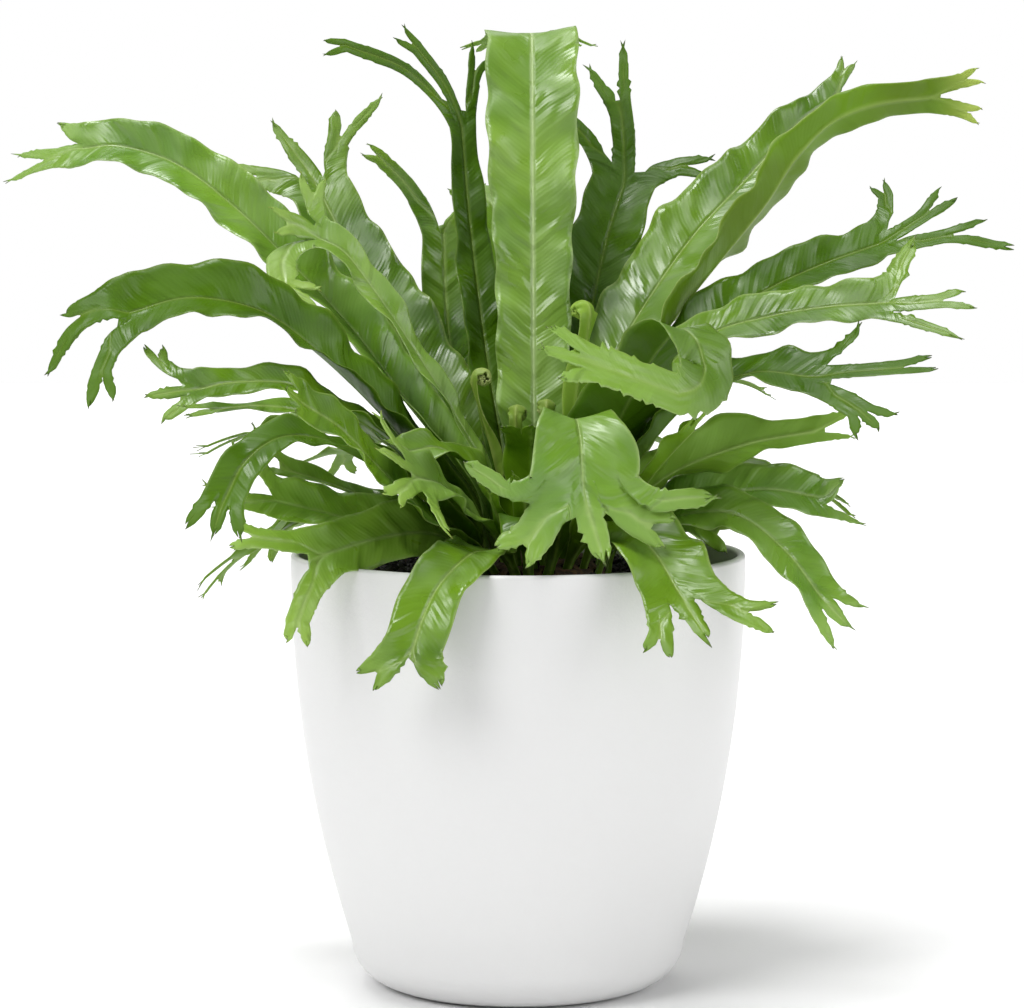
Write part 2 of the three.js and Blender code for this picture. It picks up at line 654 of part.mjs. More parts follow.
    midrib: [[30, 162], [50, 182], [80, 198], [110, 192]],
    crest: fan(28, -12) },
  { az: 132, root: 21, width: 22, roll: [0, 0], flare: 24,
    midrib: [[30, 162], [52, 180], [80, 194], [106, 188]],
    crest: antler(28, -15) },
  { az: 158, root: 20, width: 20, roll: [0, 0], flare: 24,
    midrib: [[26, 168], [52, 192], [82, 204], [112, 198]],
    crest: forked(26, -12) },
  { az: 30, root: 20, width: 20, roll: [0, 0],
    midrib: [[28, 164], [56, 182], [86, 188], [112, 178]],
    crest: fan(24, -12) },
  { az: 60, root: 22, width: 18, roll: [0, 0], flare: 24,
    midrib: [[30, 158], [54, 170], [84, 171], [108, 158]],
    crest: forked(24, -10) },
  { az: 92, root: 21, width: 17, roll: [0, 0],
    midrib: [[28, 163], [54, 182], [84, 186], [112, 174]],
    crest: antler(26, -12) },
  { az: 112, root: 22, width: 18, roll: [0, 0], flare: 24,
    midrib: [[29, 159], [54, 168], [82, 168], [104, 152]],
    crest: forked(24, -10) },
  { az: 148, root: 22, width: 20, roll: [0, 0], flare: 28,
    midrib: [[30, 159], [58, 170], [86, 172], [112, 160]],
    crest: fan(24, -12) },
  { az: 172, root: 22, width: 17, roll: [0, 0], flare: 28,
    midrib: [[29, 159], [56, 168], [84, 169], [106, 156]],
    crest: antler(24, -10) },
  // Short ones in front, low in the rosette
  { az: 285, root: 24, width: 16, roll: [0, 0], end: 0.8, flare: 34, rollTo: 0.6,
    midrib: [[28, 162], [36, 174], [46, 184], [58, 188]],
    crest: [[-24, 9, 6, 0], [22, 9, 6, 0]] },
  { az: 265, root: 26, width: 16, roll: [0, 20], end: 0.8, flare: 34, rollTo: 0.6,
    midrib: [[30, 164], [42, 172], [54, 175], [64, 171]],
    crest: [[-24, 9, 6, 0], [22, 9, 6, 0]] },
  { az: 350, root: 26, width: 16, roll: [0, 50], end: 0.8, flare: 34, rollTo: 0.6,
    midrib: [[30, 160], [42, 168], [54, 171], [64, 167]],
    crest: [[-24, 9, 6, 0], [22, 9, 6, 0]] },
];

// Young fronds, each with its tip still rolled into a crozier

const CROZIERS = [
  { az: 312, root: 9, width: 10, roll: [0, 0], end: 0.8, look: "young",
    midrib: [[14, 182], [22, 215], [29, 245]], curl: { radius: 4.2, turns: 1.2, width: 8 } },
  { az: 200, root: 8, width: 6, roll: [0, 0], end: 0.8, look: "young",
    midrib: [[12, 178], [18, 202], [24, 220]], curl: { radius: 4.2, turns: 1.0, width: 5 } },
  { az: 238, root: 6, width: 5, roll: [0, 20], end: 0.9, look: "young",
    midrib: [[9, 176], [12, 196], [13, 208]], curl: { radius: 3.8, turns: 1.2, width: 6 } },
  { az: 290, root: 6, width: 5, roll: [0, -20], end: 0.9, look: "young",
    midrib: [[8, 178], [10, 198], [12, 210]], curl: { radius: 3.6, turns: 1.2, width: 6 } },
];

const everyLeaf = [...CROZIERS, ...FRONDS];
everyLeaf.forEach((frond) => {
  frond.foot = takeRoot(frond);
});

function placeLeaves(leaves, kind) {
  leaves.forEach((frond, i) => {
    const name = `${kind}_${String(i + 1).padStart(2, "0")}`;
    place(name, frondGeometry(frond), frond.look ?? "blade");
  });
}

placeLeaves(FRONDS, "frond");
placeLeaves(CROZIERS, "crozier");
place("pot", turned(potProfile(), POT.sides), "pot");
place("soil", toGeometry(soilSolid()), "soil");
place("crown", toGeometry(crownSolid(everyLeaf)), "crown");

export default group;
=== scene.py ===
"""Potted crested bird's nest fern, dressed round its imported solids.

Metres, +Z up, the viewer on the -Y side. The fronds are grown from the same named sizes, in millimetres,
as the part's solids: a strap that rises from its root, and lobes that fork from the strap's end.
"""

import logging
import math
import random
from dataclasses import dataclass, field
from enum import Enum
from typing import NamedTuple

import bpy
import numpy as np
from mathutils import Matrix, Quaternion, Vector


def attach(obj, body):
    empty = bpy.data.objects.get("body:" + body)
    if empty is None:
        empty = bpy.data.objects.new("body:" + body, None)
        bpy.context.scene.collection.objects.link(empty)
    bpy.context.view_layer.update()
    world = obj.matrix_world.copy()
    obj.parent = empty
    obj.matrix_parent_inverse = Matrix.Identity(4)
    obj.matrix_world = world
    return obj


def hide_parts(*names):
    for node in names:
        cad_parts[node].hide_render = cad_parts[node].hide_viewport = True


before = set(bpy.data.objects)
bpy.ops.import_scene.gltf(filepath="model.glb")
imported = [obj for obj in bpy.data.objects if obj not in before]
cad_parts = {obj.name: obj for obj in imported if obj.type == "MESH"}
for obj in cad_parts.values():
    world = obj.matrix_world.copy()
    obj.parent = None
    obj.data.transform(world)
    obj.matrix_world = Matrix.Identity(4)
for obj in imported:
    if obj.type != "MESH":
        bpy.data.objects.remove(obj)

logging.basicConfig(level=logging.INFO, format="%(message)s")
log = logging.getLogger("fern")

MM = 0.001
SEED = 7
CROWN_X = 6.0  # where the crown stands, in millimetres

Socket = bpy.types.NodeSocket
Colour = tuple[int, int, int]  # red, green and blue in thousandths


# Small helpers


def mix(a: float, b: float, share: float) -> float:
    """Value that lies the given share of the way from a to b."""
    return a + (b - a) * share


def smooth(x: float, start: float, stop: float) -> float:
    """Rises from 0 at start to 1 at stop with a soft shoulder at both ends."""
    s = min(max((x - start) / (stop - start), 0.0), 1.0)
    return s * s * (3 - 2 * s)


def spun(vector: Vector, axis: Vector, degrees: float) -> Vector:
    """The vector turned about an axis."""
    return Quaternion(axis, math.radians(degrees)) @ vector


def clear_selection() -> None:
    """Leaves object mode with nothing selected, so that an operator acts on its own piece alone."""
    if bpy.context.object and bpy.context.object.mode != "OBJECT":
        bpy.ops.object.mode_set(mode="OBJECT")
    bpy.ops.object.select_all(action="DESELECT")


def placed(name: str, data: bpy.types.ID) -> bpy.types.Object:
    """Puts a new object in the scene.

    Args:
        name: The object's name.
        data: Its mesh, light or camera.

    Returns:
        The object.
    """
    made = bpy.data.objects.new(name, data)
    bpy.context.collection.objects.link(made)
    return made


def adopt(piece: bpy.types.Object, slot: str, *nodes: str) -> None:
    """Hangs a finished piece on the part's one body and hides the solids that it stands for.

    Args:
        piece: The finished object.
        slot: The material slot's name; not used.
        nodes: The solids that the piece replaces, if any.
    """
    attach(piece, "root")
    if nodes:
        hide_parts(*nodes)
    log.info("%s: %d faces", piece.name, len(piece.data.polygons))


# Finishes


class Graph:
    """A material's node tree, with short calls for the nodes that the finishes share."""

    def __init__(self, name: str) -> None:
        """Makes an empty material.

        Args:
            name: Its name.
        """
        self.material = bpy.data.materials.new(name)
        self.material.use_nodes = True
        self.tree = self.material.node_tree
        self.tree.nodes.clear()

    def add(self, kind: str, **fed: object) -> bpy.types.Node:
        """Adds a node.

        Args:
            kind: The node's type name after "ShaderNode".
            fed: Its settings, and its sockets by name, with spaces as underscores, or by number as in0.

        Returns:
            The node.
        """
        node = self.tree.nodes.new(f"ShaderNode{kind}")
        for key, value in fed.items():
            if hasattr(node, key):
                setattr(node, key, value)
                continue
            socket = node.inputs[int(key[2:]) if key[2:].isdigit() else key.replace("_", " ")]
            if isinstance(value, Socket):
                self.tree.links.new(value, socket)
            elif socket.type == "RGBA":
                socket.default_value = (*(part / 1000 for part in value), 1.0)
            else:
                socket.default_value = value
        return node

    def sum(self, operation: str, *values: object) -> Socket:
        """One arithmetic step on numbers or sockets."""
        fed = {f"in{i}": value for i, value in enumerate(values)}
        return self.add("Math", operation=operation, **fed).outputs[0]

    def times(self, value: object, factor: object, plus: object = 0.0) -> Socket:
        """A value times a factor, and something added."""
        return self.sum("MULTIPLY_ADD", value, factor, plus)

    def bell(self, value: object, width: float) -> Socket:
        """1 where the value is 0, fading to nothing within about two widths."""
        square = self.sum("POWER", self.sum("DIVIDE", value, width), 2.0)
        return self.sum("EXPONENT", self.times(square, -1.0))

    def noise(self, where: object, scale: float, detail: float = 2.0, rough: float = 0.5) -> Socket:
        """A soft random value round 0.5."""
        return self.add("TexNoise", Vector=where, Scale=scale, Detail=detail, Roughness=rough).outputs["Fac"]

    def grid_noise(self, x: object, y: object, scale: float = 1.0, rough: float = 0.4) -> Socket:
        """A soft random value that goes by two numbers of their own scale."""
        return self.noise(self.add("CombineXYZ", X=x, Y=y).outputs[0], scale, 1.0, rough)

    def ramp(self, value: object, low: float, high: float) -> Socket:
        """The value stretched so that low gives 0 and high gives 1, with soft ends."""
        fed = {"Value": value, "From_Min": low, "From_Max": high}
        return self.add("MapRange", interpolation_type="SMOOTHSTEP", **fed).outputs[0]

    def blend(self, share: object, first: object, second: object) -> Socket:
        """A colour between two colours."""
        return self.add("Mix", data_type="RGBA", Factor=share, in6=first, in7=second).outputs[2]

    def place(self) -> Socket:
        """The point's own place on the object."""
        return self.add("TexCoord").outputs["Object"]

    def lie(self, layer: str) -> tuple[Socket, Socket, Socket]:
        """A UV layer as a vector and as its two numbers."""
        whole = self.add("UVMap", uv_map=layer).outputs[0]
        return whole, *self.add("SeparateXYZ", Vector=whole).outputs[:2]

    def bump(self, height: object, depth: float, strength: float = 1.0) -> Socket:
        """A normal that follows a height between 0 and 1, depth metres deep."""
        return self.add("Bump", Height=height, Distance=depth, Strength=strength).outputs[0]

    def finish(self, shader: bpy.types.Node) -> bpy.types.Material:
        """Links the surface and gives the material."""
        self.add("OutputMaterial", Surface=shader.outputs[0])
        return self.material

    def coat(self, body: object, rough: object, normal: object) -> bpy.types.Material:
        """The material with a plain opaque skin."""
        return self.finish(self.add("BsdfPrincipled", Base_Color=body, Roughness=rough, Normal=normal))


class Side(Enum):
    """The two faces of a blade."""

    UPPER = "upper"
    LOWER = "lower"


@dataclass(frozen=True)
class LeafFinish:
    """Fern blade: ridged and glossy above, with a painted highlight on the pleats' raised parts, plainer and
    duller below, with light coming through it.

    The layer "blade" holds the place across and along the frond in centimetres, and "growth" holds the share
    of the way into the crest and the share of the way from the midrib to the edge.
    """

    deep: Colour
    fresh: Colour
    rib: Colour
    tip: Colour
    under: Colour
    glow: Colour
    through: float = 0.22
    ripen: float = 0.5
    vein: float = 0.4
    shine: float = 0.95
    tooth: Colour = (50, 35, 15)

    MIDRIB, FINGER = 0.075, 0.17  # widths of the two veins' bells
    PLEAT, LINE = 1.6, 0.17  # pleats a centimetre, and the fine lines' spacing in centimetres

    def material(self, name: str, side: Side) -> bpy.types.Material:
        """Makes the material of one face of the blade.

        Args:
            name: The material's name.
            side: Which face it is for.

        Returns:
            The new material.
        """
        g = Graph(name)
        above = side is Side.UPPER
        where, across, along = g.lie("blade")
        _, crest, edge = g.lie("growth")
        off = g.sum("ABSOLUTE", across)
        grain = g.noise(g.place(), 55.0, 3.0)
        patch = g.ramp(g.noise(g.place(), 26.0), 0.36, 0.64)
        ridge = self.ridges(g, across, g.times(off, -0.75, along), g.noise(where, 0.5, 1.0))
        streak = g.times(g.grid_noise(g.times(across, 2.4), g.times(along, 0.7)), 1.7)
        relief_and_highlight = g.add("Mix", Factor=crest, in2=ridge, in3=streak).outputs[0]
        midrib = g.times(g.bell(off, self.MIDRIB), g.sum("POWER", g.times(crest, -1.0, 1.0), 2.5))
        inside = g.times(g.ramp(crest, 0.08, 0.4), g.ramp(crest, 0.9, 0.7))
        midrib = g.times(g.times(g.bell(edge, self.FINGER), inside), 0.6, midrib)
        body = g.blend(patch, self.deep if above else self.under, self.fresh)
        # The first mark paints the raised parts of the pleats and the crest's streaks lighter: a painted
        # highlight over their bump
        for mask, share, colour in (
                (relief_and_highlight, 0.3 if above else 0.12, self.tip if above else self.fresh),
                (g.ramp(grain, 0.45, 0.75), 0.16, self.under),
                (g.ramp(crest, 0.0, 0.7), self.ripen, self.tip),
                (midrib, self.vein if above else 0.35, self.rib),
                (g.ramp(edge, 0.92, 1.0), 0.35, self.rib),
                (g.ramp(crest, 0.93, 1.0), 0.8, self.tooth)):
            body = g.blend(g.times(mask, share), body, colour)
        height = g.times(relief_and_highlight, 1.0 if above else 0.7, g.times(grain, 0.03))
        height = g.times(midrib, -0.35 if above else 0.5, height)
        normal = g.bump(height, 0.0014 if above else 0.0010)
        wax = g.times(g.ramp(g.noise(where, 0.7, 1.0), 0.38, 0.6), -0.24, 0.46) if above else 0.42
        gloss = g.times(crest, 0.16, g.times(grain, 0.12, wax))
        skin = g.add("BsdfPrincipled", Base_Color=body, Roughness=gloss, Normal=normal,
                     Specular_IOR_Level=self.shine if above else 0.35, IOR=1.5)
        lamp = g.add("BsdfTranslucent", Color=g.blend(patch, self.glow, self.tip), Normal=normal)
        return g.finish(g.add("MixShader", in0=self.through, in1=skin.outputs[0], in2=lamp.outputs[0]))

    def ridges(self, g: Graph, across: Socket, slant: Socket, drift: Socket) -> Socket:
        """Slanting pleats from the midrib to the edge, uneven in their spacing and in places nearly flat.

        Args:
            g: The material's node tree.
            across: Place across the frond in centimetres.
            slant: Place along the frond in centimetres, less what the pleats climb towards the edge.
            drift: A slow random value.

        Returns:
            A height between 0 and 1.
        """
        slant = g.times(drift, 0.55, slant)
        pleat = g.ramp(g.grid_noise(g.times(across, 0.28), g.times(slant, self.PLEAT)), 0.3, 0.7)
        swell = g.grid_noise(across, slant, 0.75, 0.5)
        fine = g.times(g.sum("SINE", g.times(slant, 2 * math.pi / self.LINE)), 0.5, 0.5)
        pleat = g.times(pleat, g.ramp(swell, 0.3, 0.6))
        return g.times(pleat, 0.46, g.times(swell, 0.8, g.times(fine, 0.02)))


class Look(Enum):
    """How far a frond has aged, with painted light and shade on some fronds: the deep look is a darker copy
    of the green, partly the colour of older fronds and partly painted shade on fronds that stand in shade,
    and the pale look is a lighter copy, painted light on fronds that lie in the shade of those above.
    """

    DEEP = "deep"
    LEAF = "green"
    FRESH = "fresh"
    RIBBED = "ribbed"
    CRESTED = "crested"
    TIPPED = "tipped"
    PALE = "pale"
    TENDER = "tender"
    YOUNG = "young"
    SCALY = "scaly"


# The colours are deep, fresh, rib, tip, under and glow; tip above and fresh below also serve as the painted
# highlight on the pleats
LEAF_FINISHES: dict[Look, LeafFinish] = {
    # A darker copy of the green: partly the colour of older fronds, partly painted shade on fronds that stand
    # in shade
    Look.DEEP: LeafFinish((40, 105, 1), (82, 190, 3), (250, 360, 60), (100, 215, 6), (56, 122, 2),
                          (150, 340, 4), ripen=0.3, shine=0.4),
    Look.LEAF: LeafFinish((50, 132, 1), (142, 295, 4), (460, 600, 170), (220, 390, 20), (88, 180, 3),
                          (270, 520, 8)),
    Look.RIBBED: LeafFinish((128, 272, 16), (215, 395, 34), (520, 680, 280), (320, 510, 80), (150, 280, 14),
                            (300, 550, 20), vein=0.85),
    Look.FRESH: LeafFinish((110, 255, 12), (190, 370, 28), (520, 660, 240), (270, 460, 60), (160, 300, 18),
                           (310, 560, 20)),
    Look.CRESTED: LeafFinish((44, 115, 2), (88, 195, 5), (360, 500, 120), (240, 430, 45), (66, 142, 3),
                             (220, 440, 10), ripen=1.0),
    Look.TIPPED: LeafFinish((66, 160, 2), (130, 265, 6), (460, 600, 170), (460, 590, 110), (112, 196, 4),
                            (340, 580, 10), ripen=0.95),
    # A lighter copy of the fresh green: painted light on fronds that lie in the shade of the fronds above
    Look.PALE: LeafFinish((220, 420, 30), (340, 580, 65), (580, 720, 280), (380, 580, 90), (270, 450, 36),
                          (360, 620, 30)),
    Look.TENDER: LeafFinish((150, 300, 30), (240, 420, 55), (560, 700, 300), (360, 540, 85), (190, 340, 40),
                            (360, 600, 40), through=0.28, tooth=(260, 280, 30)),
    Look.YOUNG: LeafFinish((205, 375, 30), (320, 510, 60), (560, 680, 220), (460, 650, 100), (250, 420, 40),
                           (440, 680, 40), through=0.28, tooth=(260, 280, 30)),
    Look.SCALY: LeafFinish((110, 220, 14), (200, 330, 34), (500, 560, 160), (500, 580, 200), (180, 290, 36),
                           (400, 500, 60), ripen=1.0, tooth=(220, 130, 50)),
}


@dataclass(frozen=True)
class PotFinish:
    """White moulded plastic with a faint orange peel and a satin gloss."""

    white: Colour = (700, 700, 699)
    warm: Colour = (685, 684, 681)

    def material(self) -> bpy.types.Material:
        """Makes the material.

        Returns:
            The new material.
        """
        g = Graph("pot_white")
        where = g.place()
        cloud = g.ramp(g.noise(where, 9.0), 0.3, 0.7)
        body = g.blend(g.times(cloud, 0.5), self.white, self.warm)
        rough = g.times(g.noise(where, 60.0, 3.0), 0.14, 0.3)
        return g.coat(body, rough, g.bump(g.noise(where, 900.0, 1.0), 0.00012, 0.5))


@dataclass(frozen=True)
class SoilFinish:
    """Moist peat: nearly black, with brown fibre showing in places."""

    dark: Colour = (6, 5, 4)
    brown: Colour = (35, 20, 12)

    def material(self, name: str, share: float) -> bpy.types.Material:
        """Makes the material.

        Args:
            name: The material's name.
            share: How much brown shows, from 0 to 1.

        Returns:
            The new material.
        """
        g = Graph(name)
        where = g.place()
        crumb = g.noise(where, 420.0, 4.0, 0.7)
        patch = g.ramp(g.noise(where, 140.0, 3.0), 0.75 - 0.5 * share, 0.85)
        return g.coat(g.blend(patch, self.dark, self.brown), g.times(crumb, 0.3, 0.6), g.bump(crumb, 0.0012))


@dataclass(frozen=True)
class CrownFinish:
    """Rootstock: brown, scurfy and fibrous."""

    bark: Colour = (30, 18, 8)
    scale: Colour = (100, 55, 20)

    def material(self) -> bpy.types.Material:
        """Makes the material.

        Returns:
            The new material.
        """
        g = Graph("rootstock")
        fibre = g.noise(g.add("Mapping", Vector=g.place(), Scale=(1, 1, 0.15)).outputs[0], 500.0, 4.0)
        body = g.blend(g.ramp(fibre, 0.4, 0.7), self.bark, self.scale)
        return g.coat(body, g.times(fibre, 0.2, 0.7), g.bump(fibre, 0.001))


# Fronds


@dataclass(frozen=True)
class Curl:
    """The rolled tip of a young frond, wound towards its upper face."""

    radius: float
    turns: float
    width: float


@dataclass(frozen=True)
class Lobe:
    """One finger of a crest: its turn, length, width and bend, and what forks from its end."""

    turn: float
    length: float
    width: float
    bend: float = 0.0
    forks: tuple["Lobe", ...] = ()

    @classmethod
    def read(cls, sizes: list) -> "Lobe":
        """Reads a finger from its list of sizes.

        Args:
            sizes: Turn, length and width, and if need be its bend, and its forks in the same form.

        Returns:
            The finger.
        """
        turn, length, width, *rest = sizes
        forks = tuple(cls.read(fork) for fork in rest[1]) if len(rest) > 1 else ()
        return cls(turn, length, width, rest[0] if rest else 0.0, forks)

    def shares(self) -> list[float]:
        """Says what it takes of the row that it grows from.

        Returns:
            Its width, split among its forks or columns.
        """
        columns = 1 if self.width < 10 else 2
        own = [share for fork in self.forks for share in fork.shares()] or [1.0] * columns
        return [share * self.width / sum(own) for share in own]


@dataclass(frozen=True)
class Frond:
    """One frond's driving sizes, in millimetres and degrees, the same as in the solids."""

    az: float
    root: float
    width: float
    midrib: list
    crest: list = field(default_factory=list)
    roll: tuple[float, float] = (0, 0)
    end: float = 0.85
    flare: float = 50.0
    roll_to: float = 1.0
    fold: float = 16.0
    web: float = 0.34
    waist: float = 1.0
    notch: float = 0.16
    curl: Curl | None = None
    look: Look = Look.LEAF


def pair(turn: float, other: float, length: float, width: float, bend: float = 0.0) -> list:
    """Two fingers that differ in their turn alone."""
    return [[turn, length, width, bend], [other, length, width, bend]]


def forked(length: float, droop: float = 0.0) -> list:
    """Three plain fingers."""
    return [[-30, length * 0.8, 7, droop], [2, length, 8, droop * 1.5], [32, length * 0.75, 7, droop]]


def fan(length: float, droop: float = 0.0) -> list:
    """Five fingers, four of them in pairs.

    Args:
        length: A finger's length with its fork.
        droop: How far they bend.

    Returns:
        The fingers.
    """
    forks = [[-14, length * 0.55, 5, droop], [22, length * 0.5, 5, droop]]
    first = [-34, length * 0.5, 9, droop, pair(-26, 18, length * 0.5, 5, droop)]
    return [first, [8, length * 0.45, 8, droop, forks], [44, length * 0.7, 6, droop]]


def antler(length: float, droop: float = 0.0) -> list:
    """A forked finger and a plain one."""
    forks = [[-20, length * 0.4, 5, droop], [20, length * 0.5, 5, droop]]
    return [[-22, length * 0.6, 8, droop, forks], [30, length * 0.9, 7, droop]]


